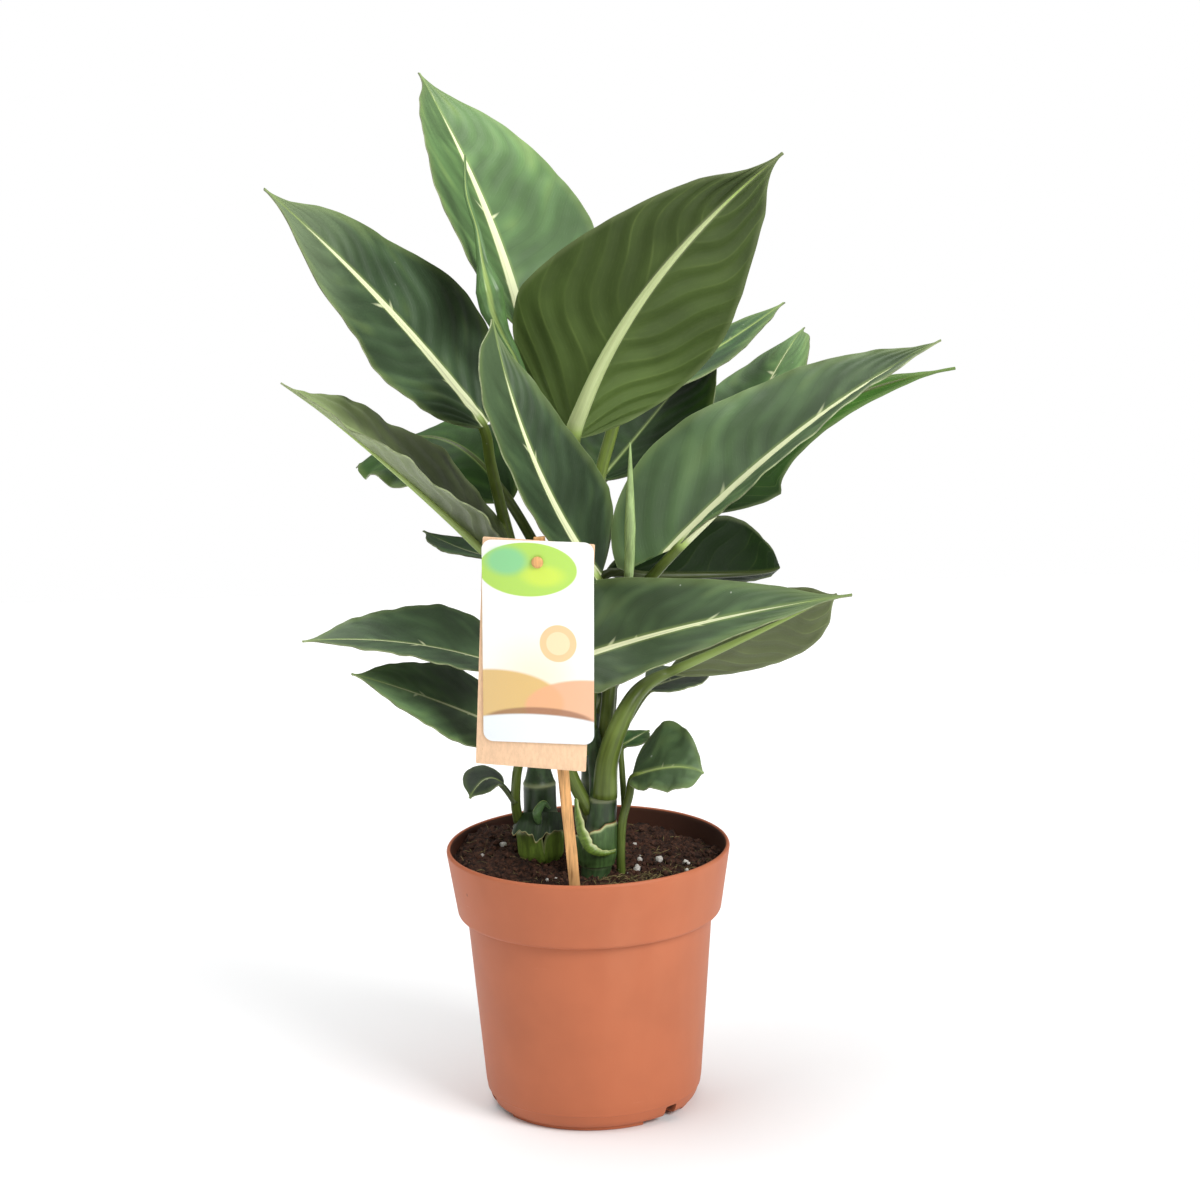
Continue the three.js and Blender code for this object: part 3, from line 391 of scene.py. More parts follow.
class Recipe:
    """Adds the nodes of one tree, a step at a time. A value may be a number, a colour or an output."""

    def __init__(self, tree):
        self.tree = tree

    def node(self, kind, **settings):
        """A new node with these settings."""
        made = self.tree.nodes.new(kind)
        for name, value in settings.items():
            setattr(made, name, value)
        return made

    def feed(self, socket, value):
        """Links an output to a socket, or writes the value there."""
        if isinstance(value, bpy.types.NodeSocket):
            self.tree.links.new(value, socket)
        elif socket.type == "RGBA":
            socket.default_value = (*value, 1.0)
        else:
            socket.default_value = value

    def math(self, operation, *values):
        """One step of arithmetic."""
        made = self.node("ShaderNodeMath", operation=operation)
        for socket, value in zip(made.inputs, values):
            self.feed(socket, value)
        return made.outputs[0]

    def smooth(self, value, low, high, start=0.0, end=1.0):
        """Goes smoothly from start to end as value goes from low to high."""
        made = self.node("ShaderNodeMapRange", interpolation_type="SMOOTHSTEP")
        for socket, number in zip(made.inputs, (value, low, high, start, end)):
            self.feed(socket, number)
        return made.outputs[0]

    def mix(self, factor, first, second):
        """The first colour at factor 0, the second at 1."""
        made = self.node("ShaderNodeMix", data_type="RGBA")
        self.feed(made.inputs[0], factor)
        self.feed(made.inputs[6], first)
        self.feed(made.inputs[7], second)
        return made.outputs[2]

    def veil(self, colour, other, mask, share):
        """A colour with a share of another laid over it where the mask is."""
        return self.mix(self.math("MULTIPLY", mask, share), colour, other)

    def tones(self, value, low, high, colour, dark, light):
        """One colour from its dark to its light tone as value goes from low to high."""
        return self.mix(self.smooth(value, low, high), toned(colour, dark), toned(colour, light))

    def noise(self, place, scale, detail, rough=0.55):
        """Cloudy noise over a place."""
        made = self.node("ShaderNodeTexNoise")
        self.feed(made.inputs["Vector"], place)
        made.inputs["Scale"].default_value = scale
        made.inputs["Detail"].default_value = detail
        made.inputs["Roughness"].default_value = rough
        return made.outputs[0]

    def stretched(self, place, scale):
        """A place with each of its axes scaled."""
        made = self.node("ShaderNodeMapping")
        self.feed(made.inputs["Vector"], place)
        made.inputs["Scale"].default_value = scale
        return made.outputs[0]

    def scaled(self, colour, factor):
        """A colour made brighter or darker by a factor."""
        made = self.node("ShaderNodeVectorMath", operation="SCALE")
        self.feed(made.inputs[0], colour)
        self.feed(made.inputs["Scale"], factor)
        return made.outputs[0]

    def split(self, place):
        """The three numbers of a place or a colour."""
        made = self.node("ShaderNodeSeparateXYZ")
        self.feed(made.inputs[0], place)
        return made.outputs

    def object_place(self):
        """Where a point is on the object, in metres."""
        return self.node("ShaderNodeTexCoord").outputs["Object"]

    def surface_place(self):
        """Where a point is on the piece's UV map: across and along it."""
        return self.node("ShaderNodeUVMap", uv_map="UVMap").outputs[0]

    def attribute(self, name):
        """A number that mark has written on the vertices."""
        return self.node("ShaderNodeAttribute", attribute_name=name).outputs["Fac"]

    def use(self, group, **values):
        """Places a node group with its own values, and gives its outputs."""
        made = self.node("ShaderNodeGroup", node_tree=group)
        for name, value in values.items():
            self.feed(made.inputs[name.replace("_", " ").title()], value)
        return made.outputs


def new_group(name, inputs, outputs):
    """A shader node group with named inputs and outputs, and the recipe to fill it."""
    tree = bpy.data.node_groups.new(name, "ShaderNodeTree")
    for title, (kind, default) in inputs.items():
        socket = tree.interface.new_socket(name=title, in_out="INPUT", socket_type=kind)
        if default is not None:
            socket.default_value = default
    for title, kind in outputs.items():
        tree.interface.new_socket(name=title, in_out="OUTPUT", socket_type=kind)
    recipe = Recipe(tree)
    return recipe, recipe.node("NodeGroupInput").outputs, recipe.node("NodeGroupOutput").inputs


def side_veins_group():
    """Side veins that leave the midrib and curve to the margin, for blades with UV across and along."""
    if "side_veins" in bpy.data.node_groups:
        return bpy.data.node_groups["side_veins"]
    r, given, result = new_group(
        "side_veins",
        {"Surface": ("NodeSocketVector", None), "Veins": ("NodeSocketFloat", 12.0)},
        {title: "NodeSocketFloat" for title in ("Vein", "Spur", "Swelling", "Streak", "Patch")})
    across, along, _ = r.split(given["Surface"])
    offset = r.math("MULTIPLY_ADD", across, 2.0, -1.0)
    outward = r.math("ABSOLUTE", offset)
    right = r.math("GREATER_THAN", offset, 0.0)
    reach = r.math("MULTIPLY", outward, r.math("MULTIPLY_ADD", outward, VEIN_CURVE, VEIN_LEAN))
    phase = r.math("MULTIPLY", r.math("SUBTRACT", along, reach), given["Veins"])
    lag = r.math("MULTIPLY", outward, VEIN_WANDER_LAG)
    wander = r.math("SINE", r.math("MULTIPLY_ADD", along, VEIN_WANDER_TURNS, lag))
    shift = r.math("MULTIPLY", right, VEIN_SHIFT)
    phase = r.math("ADD", phase, r.math("MULTIPLY_ADD", wander, VEIN_WANDER, shift))
    away = r.math("MULTIPLY", r.math("PINGPONG", phase, 0.5), 2.0)
    vein = r.smooth(away, 0.02, 0.16, 1.0, 0.0)
    number = r.math("ADD", r.math("ROUND", phase), r.math("MULTIPLY", right, 31.0))
    dice = r.node("ShaderNodeTexWhiteNoise", noise_dimensions="1D")
    r.feed(dice.inputs["W"], number)
    length = r.math("MULTIPLY_ADD", r.math("POWER", dice.outputs["Value"], 6.0), 0.3, 0.02)
    fading = r.smooth(r.math("DIVIDE", outward, length), 0.3, 1.0, 1.0, 0.0)
    spread = r.math("MULTIPLY_ADD", fading, 0.2, 0.06)
    spur = r.math("MULTIPLY", r.smooth(away, 0.03, spread, 1.0, 0.0), fading)
    fine = r.math("PINGPONG", r.math("MULTIPLY", phase, 6.0), 0.5)
    grain = r.noise(r.stretched(given["Surface"], (30.0, 60.0, 1.0)), 1.0, 2.0)
    streak = r.math("MULTIPLY", r.math("MULTIPLY", fine, 2.0), grain)
    flow = r.node("ShaderNodeCombineXYZ")
    r.feed(flow.inputs["X"], r.math("MULTIPLY", offset, 1.6))
    r.feed(flow.inputs["Y"], r.math("MULTIPLY", phase, 0.55))
    patch = r.noise(flow.outputs[0], 1.0, 1.5, 0.5)
    for title, value in (("Vein", vein), ("Spur", spur), ("Swelling", away), ("Streak", streak),
                         ("Patch", patch)):
        r.feed(result[title], value)
    return r.tree


def flecks_group():
    """Small pale specks of dust and dried water, and a large slow variation in tone."""
    if "flecks" in bpy.data.node_groups:
        return bpy.data.node_groups["flecks"]
    r, given, result = new_group(
        "flecks",
        {"Place": ("NodeSocketVector", None), "Spacing": ("NodeSocketFloat", 90.0),
         "Amount": ("NodeSocketFloat", 0.5)},
        {"Speck": "NodeSocketFloat", "Tone": "NodeSocketFloat"})
    cells = r.node("ShaderNodeTexVoronoi", feature="F1")
    r.feed(cells.inputs["Vector"], given["Place"])
    r.feed(cells.inputs["Scale"], given["Spacing"])
    chance, breadth, _ = r.split(cells.outputs["Color"])
    chosen = r.math("LESS_THAN", chance, given["Amount"])
    size = r.math("MULTIPLY_ADD", breadth, 0.07, 0.02)
    dot = r.smooth(r.math("DIVIDE", cells.outputs["Distance"], size), 0.6, 1.1, 1.0, 0.0)
    r.feed(result["Speck"], r.math("MULTIPLY", dot, chosen))
    r.feed(result["Tone"], r.noise(given["Place"], 28.0, 3.0))
    return r.tree


def wood_grain_group():
    """Long fibres along the object's height."""
    if "wood_grain" in bpy.data.node_groups:
        return bpy.data.node_groups["wood_grain"]
    r, given, result = new_group("wood_grain", {"Place": ("NodeSocketVector", None)},
                                 {"Grain": "NodeSocketFloat", "Crack": "NodeSocketFloat"})
    fibres = r.noise(r.stretched(given["Place"], (900.0, 900.0, 22.0)), 1.0, 4.0, 0.65)
    bands = r.noise(r.stretched(given["Place"], (420.0, 420.0, 6.0)), 1.0, 2.0)
    r.feed(result["Grain"], r.math("MULTIPLY_ADD", fibres, 0.6, r.math("MULTIPLY", bands, 0.4)))
    r.feed(result["Crack"], r.smooth(bands, 0.36, 0.42, 1.0, 0.0))
    return r.tree


def new_material(name, roughness, specular=0.5):
    """A material with its shader, and the recipe for what feeds it."""
    material = bpy.data.materials.new(name)
    material.use_nodes = True
    shader = material.node_tree.nodes["Principled BSDF"]
    shader.inputs["Roughness"].default_value = roughness
    shader.inputs["Specular IOR Level"].default_value = specular
    return material, Recipe(material.node_tree), shader


def raise_grain(r, shader, height, depth, distance):
    """Lets a height bump the surface, to a depth from 0 to 1 of a distance in metres."""
    bump = r.node("ShaderNodeBump")
    bump.inputs["Strength"].default_value = depth
    bump.inputs["Distance"].default_value = distance
    r.feed(bump.inputs["Height"], height)
    r.feed(shader.inputs["Normal"], bump.outputs[0])


# How each leaf looks: settings of its upper and under colours, shares of yellow-green patches, of cream
# in the spurs and of paleness at the tip, then how glossy it is.
LOOKS = {
    "deep": ("deep_green", "shade_green", 0.08, 0.75, 0.1, 0.42),
    "bright": ("bright_green", "shade_green", 0.35, 0.4, 0.1, 0.4),
    "fresh": ("fresh_green", "olive_green", 0.35, 0.9, 0.1, 0.45),
    "bronze": ("bronze_green", "bronze_green", 0.1, 0.5, 0.1, 0.35),
    # painted sheen: the grey look is for leaves whose upper side shows a grey sheen, which its lighter,
    # greyer green stands in for
    "grey": ("sheened_grey_green", "shade_green", 0.14, 0.7, 0.1, 0.42),
    "silver": ("deep_green", "shade_green", 0.2, 0.8, 0.45, 0.42),
    "olive": ("deep_green", "olive_green", 0.12, 0.6, 0.0, 0.35),
    "dull": ("deep_green", "dull_green", 0.1, 0.0, 0.0, 0.3),
    # painted shade: the shade look darkens leaves deep in the plant to stand in for the shade they are in
    "shade": ("shade_green", "shade_green", 0.1, 0.0, 0.0, 0.15),
}


def blade_upper(look, veins, tone, colours):
    """Upper side of a blade: satin green, cream at the midrib, flecked along its side veins, with painted
    light on the swellings between them and painted shade in the sunken veins.
    """
    name = f"blade_upper_{look}_{veins}_{tone[0]}_{tone[1]}"
    if name in bpy.data.materials:
        return bpy.data.materials[name]
    green_name, _, patch_share, spur_share, tip_share, gloss = LOOKS[look]
    green = getattr(colours, green_name)
    material, r, shader = new_material(name, 0.4, gloss)
    place = r.object_place()
    veined = r.use(side_veins_group(), surface=r.surface_place(), veins=float(veins))
    dusty = r.use(flecks_group(), place=place, spacing=150.0, amount=0.1)
    along = r.split(r.surface_place())[1]
    fading = r.smooth(along, 0.7, 0.9, 1.0, 0.0)
    colour = r.tones(dusty["Tone"], 0.32, 0.7, green, 0.78, 1.15)
    # painted light and shade: the swellings between the side veins are made lighter and the sunken veins
    # darker, standing in for the light and shade of the quilting
    swollen = r.smooth(veined["Swelling"], 0.1, 0.9)
    band = r.math("MULTIPLY", swollen, r.smooth(veined["Patch"], 0.35, 0.65, 0.05, 0.32))
    colour = r.veil(colour, toned(green, 1.4), band, fading)
    colour = r.veil(colour, toned(green, 0.6), veined["Vein"], r.math("MULTIPLY", fading, 0.2))
    streak = r.math("MULTIPLY", r.smooth(veined["Streak"], 0.3, 0.75), fading)
    colour = r.veil(colour, toned(green, 1.4), streak, 0.1)
    colour = r.mix(r.smooth(along, 0.55, 0.98, 0.0, tip_share), colour, swatch("#a9bd92"))
    broad = r.math("MULTIPLY_ADD", r.smooth(veined["Patch"], 0.36, 0.62, -0.2, 0.16), fading, 1.0)
    # partly painted light and shade: tone brightens or darkens the whole blade from base to tip to stand in
    # for the light it gets, besides its own tone
    colour = r.scaled(colour, r.math("MULTIPLY", broad, r.smooth(along, 0.05, 0.9, *tone)))
    colour = r.veil(colour, colours.blotch, r.smooth(veined["Patch"], 0.52, 0.8), patch_share)
    creamy = r.attribute("cream")
    colour = r.veil(colour, colours.cream, veined["Spur"], r.math("MULTIPLY", creamy, spur_share))
    rib_gap = r.attribute("rib_gap")
    colour = r.mix(r.smooth(rib_gap, 0.1, 1.4, 0.35, 0.0), colour, colours.blotch)
    band_colour = r.mix(creamy, colours.stalk_green, colours.cream)
    colour = r.mix(r.smooth(rib_gap, -0.2, 0.0, 1.0, 0.0), colour, band_colour)
    edge_gap = r.attribute("edge_gap")
    colour = r.mix(r.smooth(edge_gap, 0.2, 5.0, 0.22, 0.0), colour, toned(colours.blotch, 0.8))
    # partly painted highlight: a thin pale line at the very margin, for light caught on the blade's edge as
    # well as its pale rim
    colour = r.mix(r.smooth(edge_gap, 0.1, 0.4, 0.2, 0.0), colour, colours.margin)
    colour = r.veil(colour, (0.62, 0.66, 0.58), dusty["Speck"], 0.45)
    r.feed(shader.inputs["Base Color"], colour)
    cells = r.noise(place, 600.0, 2.0)
    r.feed(shader.inputs["Roughness"], r.smooth(cells, 0.3, 0.75, 0.43, 0.5))
    pores = r.math("MULTIPLY", cells, r.math("MULTIPLY_ADD", fading, 0.1, 0.02))
    raise_grain(r, shader, r.math("MULTIPLY_ADD", streak, 0.5, pores), 0.3, 0.3 * MM)
    return material


def blade_under(look, veins, tone, colours):
    """Underside of a blade, its side veins a little raised and lighter, with painted shade in the hollows
    between them.
    """
    name = f"blade_under_{look}_{veins}_{tone[0]}_{tone[1]}"
    if name in bpy.data.materials:
        return bpy.data.materials[name]
    _, under_name, patch_share, _, _, gloss = LOOKS[look]
    green = getattr(colours, under_name)
    # painted shade: on the shade look the pale veins are fainter, as if lost in the shade
    pale_share = 0.15 if look == "shade" else 0.45
    pale = tuple(a + pale_share * (b - a) for a, b in zip(green, colours.blotch))
    material, r, shader = new_material(name, 0.5, 0.7 * gloss)
    place = r.object_place()
    veined = r.use(side_veins_group(), surface=r.surface_place(), veins=float(veins))
    dusty = r.use(flecks_group(), place=place, spacing=150.0, amount=0.08)
    colour = r.tones(dusty["Tone"], 0.3, 0.72, green, 0.8, 1.2)
    # painted shade: darker between the side veins, in the hollows of the quilting
    colour = r.veil(colour, toned(green, 0.7), r.smooth(veined["Swelling"], 0.1, 1.0), 0.25)
    colour = r.veil(colour, toned(green, 1.5), r.smooth(veined["Patch"], 0.42, 0.66), 0.3)
    colour = r.veil(colour, pale, veined["Vein"], r.smooth(veined["Patch"], 0.4, 0.62, 0.1, 0.42))
    colour = r.veil(colour, pale, r.smooth(veined["Streak"], 0.3, 0.75), 0.12)
    colour = r.veil(colour, pale, r.smooth(veined["Patch"], 0.58, 0.75), patch_share)
    # partly painted light and shade: tone brightens or darkens the whole underside from base to tip to
    # stand in for the light it gets, besides its own tone
    colour = r.scaled(colour, r.smooth(r.split(r.surface_place())[1], 0.05, 0.9, *tone))
    band_colour = r.mix(r.attribute("cream"), colours.stalk_green, colours.cream)
    colour = r.mix(r.smooth(r.attribute("rib_gap"), -1.6, 1.4, 0.9, 0.0), colour, band_colour)
    colour = r.mix(r.smooth(r.attribute("edge_gap"), 0.1, 3.0, 0.22, 0.0), colour, colours.margin)
    r.feed(shader.inputs["Base Color"], colour)
    cells = r.noise(place, 1300.0, 2.0)
    r.feed(shader.inputs["Roughness"], r.smooth(cells, 0.3, 0.75, 0.42, 0.56))
    height = r.math("MULTIPLY_ADD", veined["Vein"], 0.6, r.math("MULTIPLY", veined["Streak"], 0.3))
    raise_grain(r, shader, height, 0.3, 0.4 * MM)
    return material


def blade_margin(colours):
    """The thin edge of a blade."""
    if "blade_margin" in bpy.data.materials:
        return bpy.data.materials["blade_margin"]
    material, r, shader = new_material("blade_margin", 0.5)
    tone = r.noise(r.object_place(), 160.0, 2.0)
    r.feed(shader.inputs["Base Color"], r.tones(tone, 0.35, 0.65, colours.margin, 0.35, 0.7))
    return material


def stalk_skin(stem, colours):
    """Petiole and midrib: green with lengthwise streaks, turning cream where it runs through the blade."""
    name = f"stalk_skin_{stem}"
    if name in bpy.data.materials:
        return bpy.data.materials[name]
    material, r, shader = new_material(name, 0.4, 0.35)
    place = r.object_place()
    # partly painted light and shade: stem brightens the green of petioles in the light and darkens that of
    # petioles deep in the plant
    green = toned(colours.stalk_green, stem)
    streaks = r.noise(r.stretched(r.surface_place(), (14.0, 5.0, 1.0)), 1.0, 3.0, 0.6)
    dusty = r.use(flecks_group(), place=place, spacing=240.0, amount=0.1)
    colour = r.tones(streaks, 0.35, 0.65, green, 0.7, 1.1)
    colour = r.veil(colour, toned(colours.blotch, stem), r.smooth(dusty["Tone"], 0.45, 0.75), 0.35)
    cream = r.tones(streaks, 0.3, 0.7, colours.cream, 0.75, 1.0)
    creamy = r.attribute("cream")
    colour = r.mix(r.smooth(creamy, 0.0, 0.5), colour, toned(colours.blotch, 1.1))
    colour = r.mix(r.smooth(creamy, 0.4, 1.0), colour, cream)
    colour = r.veil(colour, (0.5, 0.55, 0.42), dusty["Speck"], 0.35)
    r.feed(shader.inputs["Base Color"], colour)
    r.feed(shader.inputs["Roughness"], r.smooth(streaks, 0.2, 0.8, 0.3, 0.46))
    raise_grain(r, shader, streaks, 0.3, 0.3 * MM)
    return material


def cane_bark(colours):
    """Old stem: dark green with paler rings at the leaf scars and scattered brown stains."""
    material, r, shader = new_material("cane_bark", 0.42)
    place = r.object_place()
    streaks = r.noise(r.stretched(r.surface_place(), (10.0, 9.0, 1.0)), 1.0, 4.0, 0.6)
    colour = r.tones(streaks, 0.35, 0.7, colours.cane_green, 0.6, 1.5)
    scar = r.attribute("scar")
    colour = r.veil(colour, swatch("#a9b184"), scar, 0.75)
    stain = r.smooth(r.noise(place, 260.0, 4.0, 0.7), 0.6, 0.72)
    colour = r.veil(colour, swatch("#4a3a22"), stain, 0.4)
    r.feed(shader.inputs["Base Color"], colour)
    r.feed(shader.inputs["Roughness"], r.smooth(streaks, 0.2, 0.8, 0.34, 0.55))
    raise_grain(r, shader, r.math("MULTIPLY_ADD", scar, 0.6, streaks), 0.35, 0.5 * MM)
    return material


def young_blade(name, colours):
    """Rolled young leaf: light green, finely ribbed, its rib and its free edge yellow-green."""
    material, r, shader = new_material(name + "_skin", 0.38)
    surface = r.surface_place()
    across, along, _ = r.split(surface)
    ribs = r.math("PINGPONG", r.math("MULTIPLY_ADD", across, 22.0, r.math("MULTIPLY", along, 9.0)), 0.5)
    mottle = r.noise(r.stretched(surface, (7.0, 12.0, 1.0)), 1.0, 3.0)
    light = getattr(colours, SPEAR_GREENS[name])
    colour = r.tones(mottle, 0.3, 0.7, light, 0.7, 1.15)
    colour = r.veil(colour, toned(light, 0.5), ribs, 0.35)
    beside = r.math("ABSOLUTE", r.math("SUBTRACT", across, 0.5))
    colour = r.mix(r.smooth(beside, 0.02, 0.06, 0.8, 0.0), colour, colours.blotch)
    colour = r.mix(r.smooth(across, 0.9, 0.96), colour, colours.blotch)
    r.feed(shader.inputs["Base Color"], colour)
    raise_grain(r, shader, ribs, 0.35, 0.4 * MM)
    return material


def sheath_skin(name, green, pale_from):
    """Cut leaf base: finely ribbed, pale towards its lip, brown and dry at the very edge."""
    material, r, shader = new_material(name + "_skin", 0.42)
    surface = r.surface_place()
    along = r.split(surface)[1]
    ribs = r.noise(r.stretched(surface, (30.0, 1.6, 1.0)), 1.0, 3.0)
    colour = r.tones(ribs, 0.3, 0.7, green, 0.6, 1.15)
    mottle = r.noise(r.stretched(surface, (9.0, 3.0, 1.0)), 1.0, 3.0)
    colour = r.veil(colour, toned(green, 0.5), r.smooth(mottle, 0.5, 0.7), 0.4)
    colour = r.mix(r.smooth(along, pale_from, 0.97, 0.0, 0.8), colour, swatch("#c3cc92"))
    fray = r.noise(r.stretched(surface, (16.0, 1.0, 1.0)), 1.0, 4.0)
    ragged = r.math("MULTIPLY_ADD", fray, 0.05, along)
    colour = r.mix(r.smooth(ragged, 0.995, 1.015, 0.0, 0.85), colour, swatch("#8a5a2c"))
    r.feed(shader.inputs["Base Color"], colour)
    raise_grain(r, shader, ribs, 0.3, 0.5 * MM)
    return material


def pot_plastic(colours):
    """Moulded plastic: satin terracotta with a faint orange peel, handling scuffs and clinging dust."""
    material, r, shader = new_material("pot_plastic", 0.5, 0.28)
    place = r.object_place()
    dusty = r.use(flecks_group(), place=place, spacing=75.0, amount=0.1)
    colour = r.tones(dusty["Tone"], 0.3, 0.7, colours.terracotta, 0.95, 1.05)
    flow = r.noise(r.stretched(place, (26.0, 26.0, 5.0)), 1.0, 3.0)
    colour = r.veil(colour, swatch("#d89a78"), r.smooth(flow, 0.5, 0.8), 0.16)
    scratches = r.noise(r.stretched(place, (60.0, 60.0, 900.0)), 1.0, 5.0, 0.7)
    scuff = r.math("MULTIPLY", r.smooth(scratches, 0.66, 0.74), r.smooth(dusty["Tone"], 0.5, 0.66))
    colour = r.veil(colour, swatch("#e2b49a"), scuff, 0.3)
    colour = r.veil(colour, swatch("#e6c8b4"), dusty["Speck"], 0.55)
    soot = r.use(flecks_group(), place=r.stretched(place, (1.3, 1.3, 1.3)), spacing=60.0, amount=0.06)
    colour = r.veil(colour, swatch("#6a3a28"), soot["Speck"], 0.5)
    # painted shade: the inside wall takes the darker inside colour
    colour = r.mix(r.attribute("inside"), colour, colours.inside)
    r.feed(shader.inputs["Base Color"], colour)
    peel = r.noise(place, 900.0, 2.0)
    r.feed(shader.inputs["Roughness"], r.smooth(flow, 0.3, 0.8, 0.46, 0.58))
    raise_grain(r, shader, r.math("MULTIPLY_ADD", peel, 0.5, scratches), 0.1, 0.3 * MM)
    return material


def moist_peat(colours):
    """Dark crumbly peat with paler and redder fibres in it."""
    material, r, shader = new_material("moist_peat", 0.9, 0.3)
    place = r.object_place()
    lumps = r.noise(place, 420.0, 5.0, 0.7)
    colour = r.tones(lumps, 0.35, 0.68, colours.peat, 0.25, 2.1)
    red = r.smooth(r.noise(place, 150.0, 3.0), 0.55, 0.7)
    colour = r.veil(colour, swatch("#4a2a1c"), red, 0.4)
    hairs = r.smooth(r.noise(r.stretched(place, (1600.0, 500.0, 900.0)), 1.0, 3.0), 0.68, 0.74)
    colour = r.veil(colour, swatch("#8a7148"), hairs, 0.5)
    r.feed(shader.inputs["Base Color"], colour)
    raise_grain(r, shader, lumps, 1.0, 1.6 * MM)
    return material


def plain_grain(name, colour, dark, light, scale, roughness, depth):
    """A loose bit on the soil: two tones of one colour and a rough skin."""
    material, r, shader = new_material(name, roughness, 0.35)
    tone = r.noise(r.object_place(), scale, 3.0)
    r.feed(shader.inputs["Base Color"], r.tones(tone, 0.35, 0.65, colour, dark, light))
    raise_grain(r, shader, tone, depth, 0.6 * MM)
    return material


def stick_wood(colours):
    """Split softwood with dark grain lines."""
    material, r, shader = new_material("stick_wood", 0.7, 0.3)
    grain = r.use(wood_grain_group(), place=r.object_place())
    colour = r.tones(grain["Grain"], 0.32, 0.66, colours.wood, 0.5, 1.12)
    colour = r.veil(colour, swatch("#7a4f2b"), grain["Crack"], 0.5)
    r.feed(shader.inputs["Base Color"], colour)
    raise_grain(r, shader, grain["Grain"], 0.5, 0.5 * MM)
    return material


def kraft_board(colours):
    """Peach-coloured kraft board with short fibres."""
    material, r, shader = new_material("kraft_board", 0.85, 0.25)
    place = r.object_place()
    pulp = r.noise(r.stretched(place, (700.0, 700.0, 260.0)), 1.0, 4.0, 0.7)
    colour = r.tones(pulp, 0.3, 0.7, colours.kraft, 0.86, 1.0)
    hairs = r.smooth(r.noise(r.stretched(place, (2200.0, 2200.0, 380.0)), 1.0, 3.0), 0.66, 0.74)
    colour = r.veil(colour, swatch("#b98a5e"), hairs, 0.35)
    r.feed(shader.inputs["Base Color"], colour)
    raise_grain(r, shader, pulp, 0.25, 0.3 * MM)
    return material


def soft_disc_group():
    """A soft-edged ellipse on a card, as a mask."""
    if "soft_disc" in bpy.data.node_groups:
        return bpy.data.node_groups["soft_disc"]
    r, given, result = new_group(
        "soft_disc",
        {"Surface": ("NodeSocketVector", None), "Middle": ("NodeSocketVector", None),
         "Reach": ("NodeSocketVector", None), "Softness": ("NodeSocketFloat", 0.05)},
        {"Mask": "NodeSocketFloat"})
    offset = r.node("ShaderNodeVectorMath", operation="SUBTRACT")
    r.feed(offset.inputs[0], given["Surface"])
    r.feed(offset.inputs[1], given["Middle"])
    shrunk = r.node("ShaderNodeVectorMath", operation="DIVIDE")
    r.feed(shrunk.inputs[0], offset.outputs[0])
    r.feed(shrunk.inputs[1], given["Reach"])
    across, up, _ = r.split(shrunk.outputs[0])
    distance = r.math("SQRT", r.math("ADD", r.math("POWER", across, 2.0), r.math("POWER", up, 2.0)))
    low = r.math("SUBTRACT", 1.0, given["Softness"])
    r.feed(result["Mask"], r.smooth(distance, low, 1.0, 1.0, 0.0))
    return r.tree


# Discs of the generic print: middle and reach as shares of the card, softness, colour, strength.
PRINT_DISCS = [
    ((0.5, 0.3, 0), (0.62, 0.36, 1), 0.9, "#f8e6cc", 0.9),
    ((0.1, 0.2, 0), (0.66, 0.17, 1), 0.1, "#d9b264", 0.9),
    ((0.95, 0.18, 0), (0.6, 0.15, 1), 0.1, "#e8ab80", 0.9),
    ((0.5, 0.1, 0), (0.55, 0.085, 1), 0.15, "#8a5a3e", 0.75),
    ((0.45, 0.0, 0), (0.95, 0.15, 1), 0.08, "#e9eff2", 1.0),
    ((0.68, 0.5, 0), (0.17, 0.094, 1), 0.05, "#f3c58f", 0.95),
    ((0.68, 0.5, 0), (0.11, 0.06, 1), 0.08, "#f9dcb2", 0.9),
    ((0.41, 0.86, 0), (0.45, 0.135, 1), 0.04, "#b0d85a", 1.0),
    ((0.22, 0.9, 0), (0.24, 0.09, 1), 0.5, "#7ecb94", 0.85),
    ((0.55, 0.83, 0), (0.26, 0.07, 1), 0.6, "#d3e64a", 0.7),
]


def printed_card(colours):
    """White coated paper with a plain print of soft discs: green at the top, straw and peach below."""
    material, r, shader = new_material("printed_card", 0.42)
    surface = r.surface_place()
    colour = colours.paper
    for middle, reach, softness, tint, strength in PRINT_DISCS:
        disc = r.use(soft_disc_group(), surface=surface, middle=middle, reach=reach, softness=softness)
        colour = r.veil(colour, swatch(tint), disc["Mask"], strength)
    grain = r.noise(r.object_place(), 1500.0, 3.0)
    colour = r.mix(r.smooth(grain, 0.2, 0.8, 0.0, 0.06), colour, (0.4, 0.4, 0.38))
    r.feed(shader.inputs["Base Color"], colour)
    raise_grain(r, shader, grain, 0.08, 0.2 * MM)
    return material


# ---------------------------------------------------------------- modelling steps


def deselect():
    """Leaves object mode with nothing selected."""
    if bpy.context.object and bpy.context.object.mode != "OBJECT":
        bpy.ops.object.mode_set(mode="OBJECT")
    bpy.ops.object.select_all(action="DESELECT")


def take(piece):
    """Makes a piece the only one selected."""
    deselect()
    piece.select_set(True)
    bpy.context.view_layer.objects.active = piece


def named(name):
    """Names the piece at work and its mesh, and gives the piece."""
    piece = bpy.context.object
    piece.name = name
    piece.data.name = name
    return piece


def edit_all():
    """Enters edit mode with the whole piece selected."""
    bpy.ops.object.mode_set(mode="EDIT")
    bpy.ops.mesh.select_all(action="SELECT")


def leave_edit():
    """Back to object mode."""
    bpy.ops.object.mode_set(mode="OBJECT")


